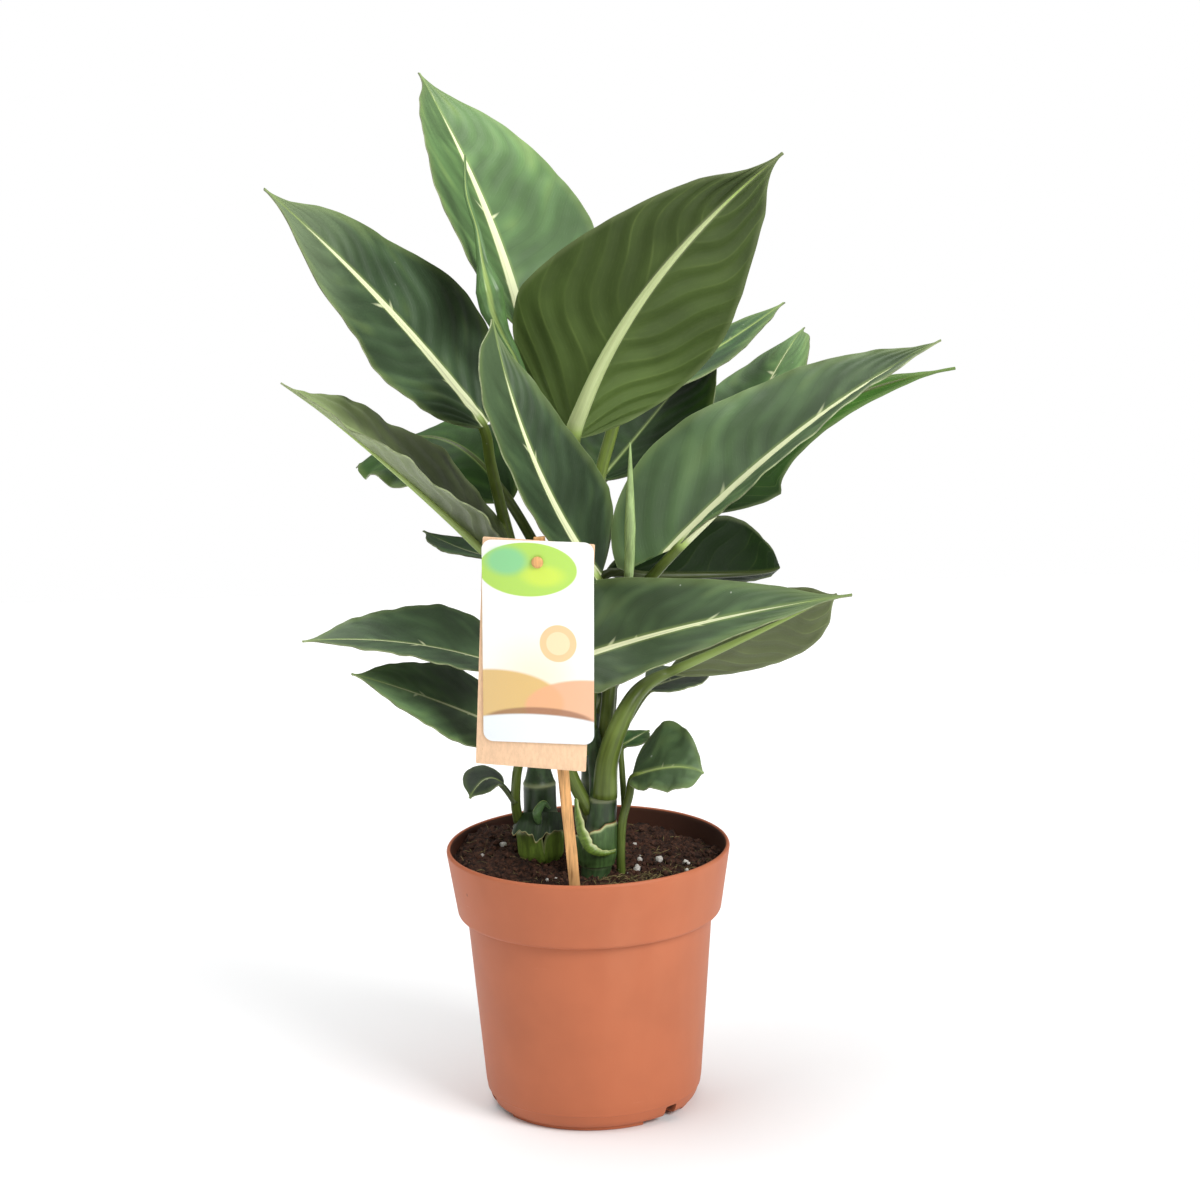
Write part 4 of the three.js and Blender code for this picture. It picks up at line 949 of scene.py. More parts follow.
def cut_rings(axis, length, reach, cuts):
    """In edit mode, cuts rings of edges square to an axis, evenly up to reach of its length either way."""
    for share in np.linspace(-reach, reach, cuts):
        bpy.ops.mesh.select_all(action="SELECT")
        bpy.ops.mesh.bisect(plane_co=[k * share * length * MM for k in axis], plane_no=axis)


def shaped_grid(name, columns, rows, place):
    """A grid primitive whose vertices go to place(u, v), in millimetres, u across and v along."""
    deselect()
    bpy.ops.mesh.primitive_grid_add(x_subdivisions=columns, y_subdivisions=rows, size=1.0, calc_uvs=True)
    piece = named(name)
    flat = np.empty(3 * len(piece.data.vertices))
    piece.data.vertices.foreach_get("co", flat)
    points = place(flat[0::3] + 0.5, flat[1::3] + 0.5)
    piece.data.vertices.foreach_set("co", (points * MM).ravel())
    piece.data.update()
    return piece


def vertex_places(piece):
    """The places of a piece's vertices in millimetres, a row each."""
    flat = np.empty(3 * len(piece.data.vertices))
    piece.data.vertices.foreach_get("co", flat)
    return flat.reshape(-1, 3) / MM


def mark(piece, name, values):
    """Writes one number a vertex, which a material reads by its name."""
    attribute = piece.data.attributes.get(name) or piece.data.attributes.new(name, "FLOAT", "POINT")
    attribute.data.foreach_set("value", np.asarray(values, np.float32))


def rewrite_surface(piece, across, along):
    """Sets the UV map from one pair of numbers a vertex."""
    loops = np.empty(len(piece.data.loops), int)
    piece.data.loops.foreach_get("vertex_index", loops)
    pairs = np.stack([across[loops], along[loops]], axis=1)
    piece.data.uv_layers[0].data.foreach_set("uv", pairs.ravel().astype(np.float32))


def weld(piece):
    """Closes seams and poles, and turns the faces outwards."""
    take(piece)
    edit_all()
    bpy.ops.mesh.remove_doubles(threshold=0.01 * MM)
    bpy.ops.mesh.normals_make_consistent(inside=False)
    leave_edit()


def apply_modifier(piece, kind, **settings):
    """Adds a modifier with these settings and applies it."""
    take(piece)
    modifier = piece.modifiers.new(kind.title(), kind)
    for name, value in settings.items():
        setattr(modifier, name, value)
    bpy.ops.object.modifier_apply(modifier=modifier.name)


def smooth(piece, angle=None):
    """Smooth shading, with creases kept above an angle in degrees where one is given."""
    take(piece)
    if angle is None:
        bpy.ops.object.shade_smooth()
    else:
        bpy.ops.object.shade_smooth_by_angle(angle=math.radians(angle))


def join(pieces, name):
    """Joins pieces into the first and names it."""
    take(pieces[0])
    for piece in pieces[1:]:
        piece.select_set(True)
    bpy.ops.object.join()
    return named(name)


def clothe(piece, *skins):
    """Gives a piece these materials and no others."""
    piece.data.materials.clear()
    for skin in skins:
        piece.data.materials.append(skin)


def finish_piece(piece, slot, *nodes):
    """Hands a finished piece to the frame: its body and the solids it stands for. slot is not used."""
    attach(piece, "root")
    if nodes:
        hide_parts(*nodes)


def move_by(piece, matrix):
    """Places a piece modelled about the origin, in its mesh."""
    piece.data.transform(matrix)
    piece.data.update()


# ---------------------------------------------------------------- tubes


def unit(vectors):
    """Each vector made one long."""
    return vectors / np.linalg.norm(vectors, axis=-1, keepdims=True)


def smooth_way(stations, steps):
    """Points and radii on the centripetal curve through stations, as the solids have it."""
    rows = np.array([list(s) for s in stations], float)
    way = rows[:, :3]
    ends = [2 * way[0] - way[1], *way, 2 * way[-1] - way[-2]]
    points, radii = [], []
    for i in range(len(way) - 1):
        a, b, c, d = ends[i:i + 4]
        before, here, after = (
            max(np.linalg.norm(q - p), 1e-6) ** 0.5 for p, q in ((a, b), (b, c), (c, d)))
        leave = ((b - a) / before - (c - a) / (before + here) + (c - b) / here) * here
        arrive = ((c - b) / here - (d - b) / (here + after) + (d - c) / after) * here
        last = i == len(way) - 2
        for t in np.linspace(0, 1, steps + 1)[:None if last else -1]:
            points.append((2 * t**3 - 3 * t**2 + 1) * b + (t**3 - 2 * t**2 + t) * leave
                          + (3 * t**2 - 2 * t**3) * c + (t**3 - t**2) * arrive)
            radii.append(rows[i, 3] + (rows[i + 1, 3] - rows[i, 3]) * t)
    return np.array(points), np.array(radii)


def carried_frames(points):
    """Two directions square to a way at each of its points, carried along it without twist."""
    tangents = unit(np.gradient(points, axis=0))
    guide = np.cross(tangents[0], (0.0, 0.0, 1.0) if abs(tangents[0][2]) < 0.9 else (1.0, 0.0, 0.0))
    normals = []
    for tangent in tangents:
        guide = unit(guide - np.dot(guide, tangent) * tangent)
        normals.append(guide)
    normals = np.array(normals)
    return normals, np.cross(tangents, normals)


def tube(name, stations, steps, sides, section=None):
    """A closed tube along stations, with so many steps between two of them and so many sides.

    section(u, v), round and along it, gives its radius as a share of the station's.
    """
    points, radii = smooth_way(stations, steps)
    points = np.vstack([points[:1], points, points[-1:]])
    radii = np.concatenate([[0.0], radii, [0.0]])
    normals, sides_way = carried_frames(points[1:-1])
    normals = np.vstack([normals[:1], normals, normals[-1:]])
    sides_way = np.vstack([sides_way[:1], sides_way, sides_way[-1:]])
    rows = len(points) - 1

    def place(u, v):
        row = np.rint(v * rows).astype(int)
        turn = 2 * np.pi * u
        reach = radii[row] * (1.0 if section is None else section(u, v))
        ring = np.cos(turn)[:, None] * normals[row] + np.sin(turn)[:, None] * sides_way[row]
        return points[row] + reach[:, None] * ring

    piece = shaped_grid(name, sides, rows, place)
    weld(piece)
    return piece


# ---------------------------------------------------------------- leaves

LOBE_END = 0.24        # where along the midrib a lobe's reach past the base has run out
STALK_END = 0.35       # where along the midrib the first of its three tapers ends
BAND_END = 0.86        # where along the midrib its pale band has run out
RIB_STEPS = (0.0, 0.12, 0.24, 0.35, 0.5, 0.65, 0.8, 0.9, 0.97)     # where along it its stations are
BLADE_GRID = (44, 96)  # faces across and along a blade
SMALL_BLADE = 25       # half width up to which a blade has the smaller grid
SMALL_BLADE_GRID = (28, 44)


def ease(low, high, x):
    """Goes smoothly from 0 to 1 as x goes from low to high."""
    x = np.clip((x - low) / (high - low), 0, 1)
    return x * x * (3 - 2 * x)


def outline(t, widest, full, shoulder):
    """Half width of a blade at t along its midrib, as a share of the widest."""
    u = np.clip((t - widest) / (1 - widest), 0, 1)
    rising = np.sin(np.pi / 2 * np.clip(t / widest, 0, 1) ** shoulder)
    falling = (1 - u ** full) * (1 - 0.6 * ease(0.72, 1, u))
    return np.where(t < widest, rising, falling)


def rib_point(grown, t):
    """The midrib is the parabola through base, mid and tip."""
    base, mid, tip = (np.array(grown[key], float) for key in ("base", "mid", "tip"))
    control = 2 * mid - 0.5 * base - 0.5 * tip
    t = np.asarray(t, float)[:, None]
    point = (1 - t) ** 2 * base + 2 * t * (1 - t) * control + t**2 * tip
    along = unit(2 * (1 - t) * (control - base) + 2 * t * (tip - control))
    return point, along


def half_width(grown, t, s):
    """Half width of the blade at t along its midrib, on the side of s."""
    right_half, left_half = (
        grown["half"] * grown["share"][k]
        * outline(t, grown["widest"][k], grown["full"][k], grown["shoulder"][k])
        for k in (0, 1))
    return np.maximum(np.where(s < 0, left_half, right_half), 0.6)


def blade_points(grown, t, s, lift):
    """Points of a blade at t along its midrib and s across it, raised by lift along its normal."""
    centre, along = rib_point(grown, t)
    face = unit(np.array(grown["face"], float))
    up = unit(face - (along @ face)[:, None] * along)
    side = np.cross(along, up)
    left = s < 0
    width = half_width(grown, t, s)
    fold = np.radians(np.where(left, grown["fold"][1], grown["fold"][0])) * (1 - 0.2 * t)
    q = np.abs(s)
    wave = MARGIN_WAVE * grown["wave"] * grown["half"] * q**2 * np.sqrt(np.clip(np.sin(np.pi * t), 0, 1)) \
        * np.sin(2 * np.pi * (MARGIN_WAVES * t + 0.1 + 0.35 * left))
    across = np.sign(s) * (width * q * np.cos(fold) - lift * np.sin(fold) * np.minimum(4 * q, 1))
    rise = width * q * np.sin(fold) + wave + lift * np.cos(fold * np.minimum(4 * q, 1))
    reach = np.where(left, grown["lobe"][1], grown["lobe"][0])
    back = reach * q * ease(-0.002, 0.018, t) * (1 - ease(0.02, LOBE_END, t))
    return centre + across[:, None] * side + rise[:, None] * up - back[:, None] * along


def blade_relief(grown, t, s, settings):
    """Swellings between the side veins and fine waves at the margin, in millimetres."""
    q = np.abs(s)
    right = s > 0
    phase = grown["veins"] * (t - q * (VEIN_LEAN + VEIN_CURVE * q))
    wander = np.sin(VEIN_WANDER_TURNS * t + VEIN_WANDER_LAG * q)
    phase = phase + VEIN_SHIFT * right + VEIN_WANDER * wander
    body = ease(0.03, 0.22, q) * (1 - 0.7 * ease(0.75, 1, q)) * ease(0, 0.08, t) * (1 - ease(0.82, 1, t))
    size = min(grown["half"] / 36, 1.0) * grown["quilt"]
    swelling = settings.quilting / MM * size * np.sin(np.pi * phase) ** 2 * body
    height = settings.frill * grown["frill"] * grown["half"] * q**4
    height = height * ease(0.03, 0.2, t) * (1 - ease(0.85, 1, t))
    broad = np.sin(2 * np.pi * (7.3 * t + 0.21 + 0.4 * right))
    fine = np.sin(2 * np.pi * (12.7 * t + 0.6 * right))
    return swelling + height * (broad + 0.5 * fine)


def blade(grown, settings):
    """The blade: a fine grid on the leaf's surface, given its thickness."""
    columns, rows = BLADE_GRID if grown["half"] > SMALL_BLADE else SMALL_BLADE_GRID

    def spread(u, v):
        t = v - 0.05 * np.sin(2 * np.pi * v)
        w = 2 * u - 1
        return t, np.sign(w) * np.abs(w) ** 1.12

    def place(u, v):
        t, s = spread(u, v)
        return blade_points(grown, t, s, blade_relief(grown, t, s, settings))

    piece = shaped_grid(grown["name"] + "_blade", columns, rows, place)
    pairs = np.empty(2 * len(piece.data.loops))
    piece.data.uv_layers[0].data.foreach_get("uv", pairs)
    loops = np.empty(len(piece.data.loops), int)
    piece.data.loops.foreach_get("vertex_index", loops)
    u = np.empty(len(piece.data.vertices))
    v = np.empty(len(piece.data.vertices))
    u[loops] = pairs[0::2]
    v[loops] = pairs[1::2]
    t, s = spread(u, v)
    rewrite_surface(piece, (s + 1) / 2, t)
    width = half_width(grown, t, s)
    band = grown["band"] * np.clip(1 - t / BAND_END, 0, 1) ** 0.7
    mark(piece, "rib_gap", np.abs(s) * width - band)
    mark(piece, "cream", grown["cream"] * (1 - 0.6 * ease(0.7, 0.95, t)))
    mark(piece, "edge_gap", (1 - np.abs(s)) * width)
    look = grown["look"], grown["veins"], grown["tone"], settings
    clothe(piece, blade_upper(*look), blade_under(*look), blade_margin(settings))
    apply_modifier(piece, "SOLIDIFY", thickness=settings.thickness, offset=0.0, material_offset=1,
                   material_offset_rim=2)
    smooth(piece, 50)
    return piece


def stalk(grown, settings):
    """Petiole and midrib in one tapering tube, the rib lying just proud of the blade."""
    count = len(grown["petiole"])
    stations = []
    for i, point in enumerate(grown["petiole"]):
        share = (i + 1) / count
        stations.append((*point, grown["stalk"] + (grown["root"] - grown["stalk"]) * share))
    stations.reverse()
    t = np.array(RIB_STEPS)
    taper = np.interp(t, (0, STALK_END, 0.8, 0.97), (1, 0.94 - 0.85 * STALK_END, 0.16, 0.07))
    radius = grown["stalk"] * taper
    proud = 0.28 + 0.25 * (1 - t)
    sink = np.where(t < 0.05, -0.35 * grown["stalk"], -(radius - proud))
    rib = blade_points(grown, t, np.zeros_like(t), sink)
    stations.extend((*p, r) for p, r in zip(rib, radius))
    piece = tube(grown["name"] + "_stalk", stations, steps=5, sides=16)
    points = vertex_places(piece)
    base, along = rib_point(grown, np.array([0.0]))
    past = (points - base) @ along[0]
    chord = np.array(grown["tip"], float) - base[0]
    share = (points - base) @ chord / (chord @ chord)
    cream = np.where(past > 0, ease(-1, 9, past) * (1 - 0.75 * ease(0.72, 0.95, share)), 0.0)
    mark(piece, "cream", cream * grown["cream"])
    clothe(piece, stalk_skin(grown["stem"], settings))
    smooth(piece)
    return piece


def make_leaf(grown, settings):
    """A leaf in one piece: its blade, its midrib and its petiole."""
    piece = join([blade(grown, settings), stalk(grown, settings)], grown["name"] + "_grown")
    finish_piece(piece, "leaf", grown["name"])


# ---------------------------------------------------------------- stems, young leaves, sheaths


def make_cane(name, stations, bark):
    """An old stem, swollen a little at each leaf scar."""
    scars = SCAR_HEIGHTS[name]
    points, _ = smooth_way(stations, 12)
    heights = np.concatenate([points[:1, 2], points[:, 2], points[-1:, 2]])

    def section(u, v):
        z = heights[np.rint(v * (len(heights) - 1)).astype(int)]
        swell = sum(np.exp(-((z - scar) / 0.9) ** 2) for scar in scars)
        return 0.96 + 0.07 * swell + 0.02 * np.sin(6 * np.pi * u)

    piece = tube(name + "_grown", stations, steps=12, sides=28, section=section)
    z = vertex_places(piece)[:, 2]
    mark(piece, "scar", np.clip(sum(np.exp(-((z - scar) / 0.8) ** 2) for scar in scars), 0, 1))
    clothe(piece, bark)
    smooth(piece)
    finish_piece(piece, "cane", name)


def make_spear(name, stations, skin):
    """A rolled leaf: two halves with a groove between, and the free edge as a step that winds round it."""

    def section(u, v):
        turned = (u + 0.35 * v) % 1.0
        return (0.66 + 0.34 * np.abs(np.sin(2 * np.pi * u)) ** 0.8) * (0.96 + 0.1 * turned)

    piece = tube(name + "_rolled", stations, steps=8, sides=30, section=section)
    clothe(piece, skin)
    smooth(piece, 60)
    finish_piece(piece, "young_leaf", name)


def make_sheath(name, form, skin):
    """A collar with a slanting, ragged lip, cut from a leaf base."""
    roll = random.Random(form["seed"])
    shifts = [roll.uniform(0, 2 * math.pi) for _ in range(3)]
    middle = (form["inner"] + form["outer"]) / 2
    slant = math.tan(math.radians(form["slant"]))

    def place(u, v):
        turn = 2 * np.pi * u
        lean = form["outer"] * np.cos(turn - math.radians(form["bearing"])) * slant
        top = np.minimum(form["top"] - 0.4, form["top"] - 3 + lean)
        ragged = 0.7 * np.sin(3 * turn + shifts[0]) + 0.35 * np.sin(9 * turn + shifts[1])
        top = top + np.minimum(ragged, 0.3) - 0.3
        for bearing, depth in form["splits"]:
            away = np.abs((turn - math.radians(bearing) + np.pi) % (2 * np.pi) - np.pi)
            top = top - depth * np.exp(-(away / form["split_width"]) ** 1.3)
        z = form["bottom"] + (top - form["bottom"]) * v
        radius = middle - 0.9 * (1 - ease(0, 0.22, v)) + form["flare"] * v
        radius = radius + 0.35 * v * np.sin(5 * turn + shifts[2]) - 0.5 * ease(0.9, 1, v)
        x = form["at"][0] + radius * np.cos(turn)
        y = form["at"][1] + radius * np.sin(turn)
        return np.stack([x, y, z], axis=1)

    piece = shaped_grid(name + "_skin", 120, 20, place)
    weld(piece)
    clothe(piece, skin)
    apply_modifier(piece, "SOLIDIFY", thickness=SHEATH_THICKNESS * MM, offset=0.0)
    smooth(piece, 60)
    finish_piece(piece, "sheath", name)


def make_flap(name, colour, pale_from, near_edge, far_edge):
    """A torn strip of leaf base, bulging a little between its two edges."""
    near, _ = smooth_way([(*point, 0) for point in near_edge], 12)
    far, _ = smooth_way([(*point, 0) for point in far_edge], 12)
    shift = random.Random(3).uniform(0, 6)

    def place(u, v):
        def on_edge(edge):
            row = u * (len(edge) - 1)
            numbers = np.arange(len(edge))
            return np.stack([np.interp(row, numbers, edge[:, k]) for k in range(3)], axis=1)

        ragged = 1 + 0.06 * np.sin(31 * u + shift) + 0.05 * np.sin(57 * u)
        share = (v * np.where(v > 0.5, ragged, 1.0))[:, None]
        point = on_edge(near) * (1 - share) + on_edge(far) * share
        bulge = 0.9 * np.sin(np.pi * v) + 0.15 * np.sin(24 * u + shift) * v
        return point + bulge[:, None] * np.array([0.0, -0.9, 0.3])

    piece = shaped_grid(name + "_flap", 72, 14, place)
    clothe(piece, sheath_skin(name, swatch(colour), pale_from))
    apply_modifier(piece, "SOLIDIFY", thickness=FLAP_THICKNESS * MM, offset=0.0)
    smooth(piece, 60)
    finish_piece(piece, "sheath")


# ---------------------------------------------------------------- pot

POT_SIDES = 144


def rounded(profile, radius, steps=4):
    """A profile with its inner corners rounded, each by a small curve of that radius."""
    result = [profile[0]]
    for before, corner, after in zip(profile, profile[1:], profile[2:]):
        before, corner, after = (np.array(p, float) for p in (before, corner, after))
        back, on = before - corner, after - corner
        reach = min(radius, 0.45 * np.linalg.norm(back), 0.45 * np.linalg.norm(on))
        start = corner + reach * unit(back)
        end = corner + reach * unit(on)
        for t in np.linspace(0, 1, steps + 1):
            result.append(tuple((1 - t) ** 2 * start + 2 * t * (1 - t) * corner + t**2 * end))
    result.append(profile[-1])
    return result


def spin_profile(name, profile, sides):
    """A closed body spun from a profile of radius and height, in millimetres."""
    deselect()
    bpy.ops.mesh.primitive_plane_add(size=1.0)
    piece = named(name)
    edit_all()
    bpy.ops.mesh.merge(type="CENTER")
    radius, height = profile[0]
    bpy.ops.transform.translate(value=(radius * MM, 0, height * MM))
    for (r0, z0), (r1, z1) in zip(profile, profile[1:]):
        bpy.ops.mesh.extrude_vertices_move(
            TRANSFORM_OT_translate={"value": ((r1 - r0) * MM, 0, (z1 - z0) * MM)})
    bpy.ops.mesh.select_all(action="SELECT")
    bpy.ops.mesh.spin(steps=sides, angle=2 * math.pi, center=(0, 0, 0), axis=(0, 0, 1))
    leave_edit()
    weld(piece)
    return piece


def pot_profile():
    """Half the pot's section: out along the underside, up the outside, over the rim and down the inside."""
    step = (BODY_TOP_RADIUS - CORNER_RADIUS) / (BAND_BOTTOM - CORNER_HEIGHT)
    floor_top = FLOOR_UNDERSIDE + WALL
    foot_inner = FOOT_RING_RADIUS - FOOT_RING_WIDTH
    mould_radius = WALL_FOOT_RADIUS + 1.2 + (CORNER_RADIUS - 1.6 - WALL_FOOT_RADIUS) * 0.75
    return [
        (0, 0), (PAD_RADIUS, 0), (PAD_RADIUS, FLOOR_UNDERSIDE), (foot_inner, FLOOR_UNDERSIDE),
        (foot_inner, 0), (FOOT_RING_RADIUS, 0), (FOOT_RING_RADIUS, FOOT_RING_HEIGHT),
        (WALL_FOOT_RADIUS, FOOT_RING_HEIGHT), (WALL_FOOT_RADIUS + 1.2, FOOT_RING_HEIGHT + 1.6),
        (mould_radius, MOULD_LINE - 0.3), (mould_radius + 0.35, MOULD_LINE),
        (CORNER_RADIUS - 0.4, CORNER_HEIGHT - 2), (CORNER_RADIUS, CORNER_HEIGHT),
        (BODY_TOP_RADIUS, BAND_BOTTOM), (BAND_FOOT_RADIUS - 0.9, BAND_BOTTOM),
        (BAND_FOOT_RADIUS, BAND_BOTTOM + 1.2), (RIM_RADIUS, POT_HEIGHT - 1), (RIM_RADIUS - 0.6, POT_HEIGHT),
        (RIM_RADIUS - WALL + 0.2, POT_HEIGHT), (RIM_RADIUS - WALL - 0.4, POT_HEIGHT - 1.2),
        (BAND_FOOT_RADIUS - WALL, BAND_BOTTOM + 2.4), (BODY_TOP_RADIUS - WALL, BAND_BOTTOM - 1.6),
        (CORNER_RADIUS - WALL - step, CORNER_HEIGHT), (WALL_FOOT_RADIUS - WALL + 0.6, floor_top + 1),
        (WALL_FOOT_RADIUS - WALL, floor_top), (0, floor_top),
    ]


def cut_away(piece, tool):
    """Takes a tool's shape out of a piece, and the tool away."""
    apply_modifier(piece, "BOOLEAN", operation="DIFFERENCE", object=tool, solver="EXACT")
    bpy.data.objects.remove(tool)


def notch_tool(bearing):
    """A tapering slot through the corner of the wall."""
    deselect()
    bpy.ops.mesh.primitive_cube_add(size=1.0)
    tool = named("notch")
    edit_all()
    bpy.ops.transform.resize(value=(12 * MM, NOTCH_WIDTH * MM, (NOTCH_TOP + 1) * MM))
    leave_edit()
    for polygon in tool.data.polygons:
        polygon.select = polygon.normal.z > 0.9
    bpy.ops.object.mode_set(mode="EDIT")
    bpy.ops.mesh.select_mode(type="FACE")
    bpy.ops.transform.resize(value=(1, 0.72, 1))
    bpy.ops.mesh.bevel(offset=0.8 * MM, segments=3)
    leave_edit()
    place = Matrix.Translation(Vector((WALL_FOOT_RADIUS + 1, 0, (NOTCH_TOP - 1) / 2)) * MM)
    move_by(tool, Matrix.Rotation(bearing, 4, "Z") @ place)
    return tool


def foot_gap_tool(bearing):
    """A wedge that leaves the foot ring out beside a notch."""
    half = math.radians(FOOT_GAP_ANGLE) / 2
    inner, outer = FOOT_RING_RADIUS - FOOT_RING_WIDTH - 1, FOOT_RING_RADIUS + 4

    def place(u, v):
        turn = bearing + half * (2 * v - 1)
        corner = np.rint(4 * u).astype(int) % 4
        radius = np.where((corner == 1) | (corner == 2), outer, inner)
        z = np.where(corner >= 2, FOOT_RING_HEIGHT, -1.0)
        return np.stack([radius * np.cos(turn), radius * np.sin(turn), z], axis=1)

    tool = shaped_grid("foot_gap", 4, 10, place)
    weld(tool)
    take(tool)
    bpy.ops.object.mode_set(mode="EDIT")
    bpy.ops.mesh.select_all(action="DESELECT")
    bpy.ops.mesh.select_mode(type="EDGE")
    bpy.ops.mesh.select_non_manifold()
    bpy.ops.mesh.edge_face_add()
    bpy.ops.mesh.select_all(action="SELECT")
    bpy.ops.mesh.normals_make_consistent(inside=False)
    leave_edit()
    return tool


def make_pot(settings):
    """The moulded pot with its drain holes, its notches and the gaps in its foot ring."""
    piece = spin_profile("pot_moulded", rounded(pot_profile(), settings.roundness / MM), POT_SIDES)
    for k in range(DRAIN_HOLES):
        turn = 2 * math.pi * (k + 0.5) / DRAIN_HOLES
        deselect()
        bpy.ops.mesh.primitive_cylinder_add(
            vertices=24, radius=DRAIN_RADIUS * MM, depth=12 * MM,
            location=(DRAIN_CIRCLE * math.cos(turn) * MM, DRAIN_CIRCLE * math.sin(turn) * MM, 2 * MM))
        cut_away(piece, bpy.context.object)
    for k in range(NOTCHES):
        bearing = math.radians(NOTCH_BEARING + 360 * k / NOTCHES)
        cut_away(piece, notch_tool(bearing))
        cut_away(piece, foot_gap_tool(bearing))
    x, y, z = vertex_places(piece).T
    radius = np.hypot(x, y)
    wall = np.interp(z, (0, CORNER_HEIGHT, BAND_BOTTOM, BAND_BOTTOM + 2, POT_HEIGHT),
                     (WALL_FOOT_RADIUS, CORNER_RADIUS, BODY_TOP_RADIUS, BAND_FOOT_RADIUS, RIM_RADIUS))
    # marks the inside wall above the soil, which the material darkens as painted shade
    mark(piece, "inside", ((radius < wall - 1.2) & (z > 4) & (z < POT_HEIGHT - 0.6)).astype(float))
    clothe(piece, pot_plastic(settings))
    smooth(piece, 35)
    finish_piece(piece, "pot", "pot")


# ---------------------------------------------------------------- soil

SOIL_RINGS = 64
SOIL_SIDES = 220


def soil_height(x, y):
    """Height of the soil, heaped at the left back and low at the right back."""
    heap = 6 * np.exp(-((x + 38) ** 2 + (y - 26) ** 2) / 300)
    dip = -3.2 * np.exp(-((x - 34) ** 2 + (y - 24) ** 2) / 900)
    rough = 0.7 * np.sin(0.31 * x + 1) * np.sin(0.27 * y) + 0.4 * np.sin(0.9 * x - 0.6 * y)
    return SOIL_LEVEL + heap + dip + rough + 0.02 * np.maximum(-y, 0)


def crumble(x, y):
    """Fine unevenness of loose peat, in millimetres."""
    total = np.empty(len(x))
    for i, (a, b) in enumerate(zip(x, y)):
        coarse = noise.noise(Vector((a / 4.5, b / 4.5, 1.7)))
        medium = noise.noise(Vector((a / 1.9, b / 1.9, 5.1)))
        fine = noise.noise(Vector((a / 0.9, b / 0.9, 9.3)))
        total[i] = 1.7 * coarse + 1.3 * medium + 0.8 * fine
    return total


def make_soil_body(peat):
    """The root ball: it follows the inside of the pot, and its top is heaped and crumbly."""
    slack = WALL + 0.3
    under = [(0, SOIL_BOTTOM), (WALL_FOOT_RADIUS - slack - 0.4, SOIL_BOTTOM),
             (CORNER_RADIUS - slack - 0.4, CORNER_HEIGHT),
             (BODY_TOP_RADIUS - slack - 0.1, BAND_BOTTOM - 1.6),
             (BAND_FOOT_RADIUS - slack - 0.1, BAND_BOTTOM + 2.4), (SOIL_REACH - 0.3, SOIL_LEVEL - 3)]
    radii = np.array([r for r, _ in under] + list(SOIL_REACH * np.linspace(1, 0, SOIL_RINGS) ** 0.8))
    rows = len(radii) - 1

    def place(u, v):
        row = np.rint(v * rows).astype(int)
        turn = 2 * np.pi * u
        x, y = radii[row] * np.cos(turn), radii[row] * np.sin(turn)
        top = soil_height(x, y) + crumble(x, y)
        low = np.array([z for _, z in under] + [0.0] * SOIL_RINGS)[row]
        return np.stack([x, y, np.where(row < len(under), low, top)], axis=1)

    piece = shaped_grid("soil_bed", SOIL_SIDES, rows, place)
    weld(piece)
    clothe(piece, peat)
    smooth(piece)
    finish_piece(piece, "soil", "soil")


def lump(name, levels, roll, squash):
    """An uneven pebble of radius one, which tumbled makes as many millimetres as its size says."""
    deselect()
    bpy.ops.mesh.primitive_ico_sphere_add(subdivisions=levels, radius=1.0)
    piece = named(name)
    shift = Vector((roll.uniform(0, 50), roll.uniform(0, 50), roll.uniform(0, 50)))
    for vertex in piece.data.vertices:
        swell = 1 + 0.45 * noise.noise(vertex.co * 1.3 + shift)
        x, y, z = vertex.co
        vertex.co = Vector((x * swell, y * swell * 0.85, z * swell * squash))
    return piece


def scatter(name, models, places, skin):
    """Copies models to places, each a matrix, and joins them as one piece."""
    copies = []
    for k, matrix in enumerate(places):
        copy = models[k % len(models)].copy()
        copy.data = copy.data.copy()
        bpy.context.collection.objects.link(copy)
        copy.data.transform(matrix)
        copies.append(copy)
    piece = join(copies, name)
    for model in models:
        bpy.data.objects.remove(model)
    clothe(piece, skin)
    return piece


def on_soil(roll, reach=54.0):
    """A random place on the soil within reach of its middle, in millimetres."""
    turn = roll.uniform(0, 2 * math.pi)
    radius = reach * math.sqrt(roll.random())
    x, y = radius * math.cos(turn), radius * math.sin(turn)
    z = float(soil_height(np.array([x]), np.array([y]))[0] + crumble([x], [y])[0])
    return Vector((x, y, z))


def tumbled(place, size, roll):
    """The matrix that turns a pebble at random and sets it at a place."""
    turn = Matrix.Rotation(roll.uniform(0, 6.28), 4, (roll.random() - 0.5, roll.random() - 0.5, 0.4))
    return Matrix.Translation(place * MM) @ turn @ Matrix.Scale(size * MM, 4)


def make_crumbs(settings):
    """Loose crumbs of peat: most are small, and beside the pot's wall all are."""
    roll = random.Random(77)
    models = [lump(f"crumb_{k}", 1, roll, 0.8) for k in range(5)]
    places = []
    for _ in range(settings.crumbs):
        place = on_soil(roll, 56.0)
        size = 0.35 + 1.6 * roll.random() ** 3.2
        if place.xy.length > 54.5:
            size = min(size, 0.9)
        places.append(tumbled(place + Vector((0, 0, 0.3 * size)), size, roll))
    skin = plain_grain("peat_crumb", settings.peat, 0.4, 2.0, 500.0, 0.9, 0.9)
    piece = scatter("soil_crumbs", models, places, skin)
    finish_piece(piece, "soil")


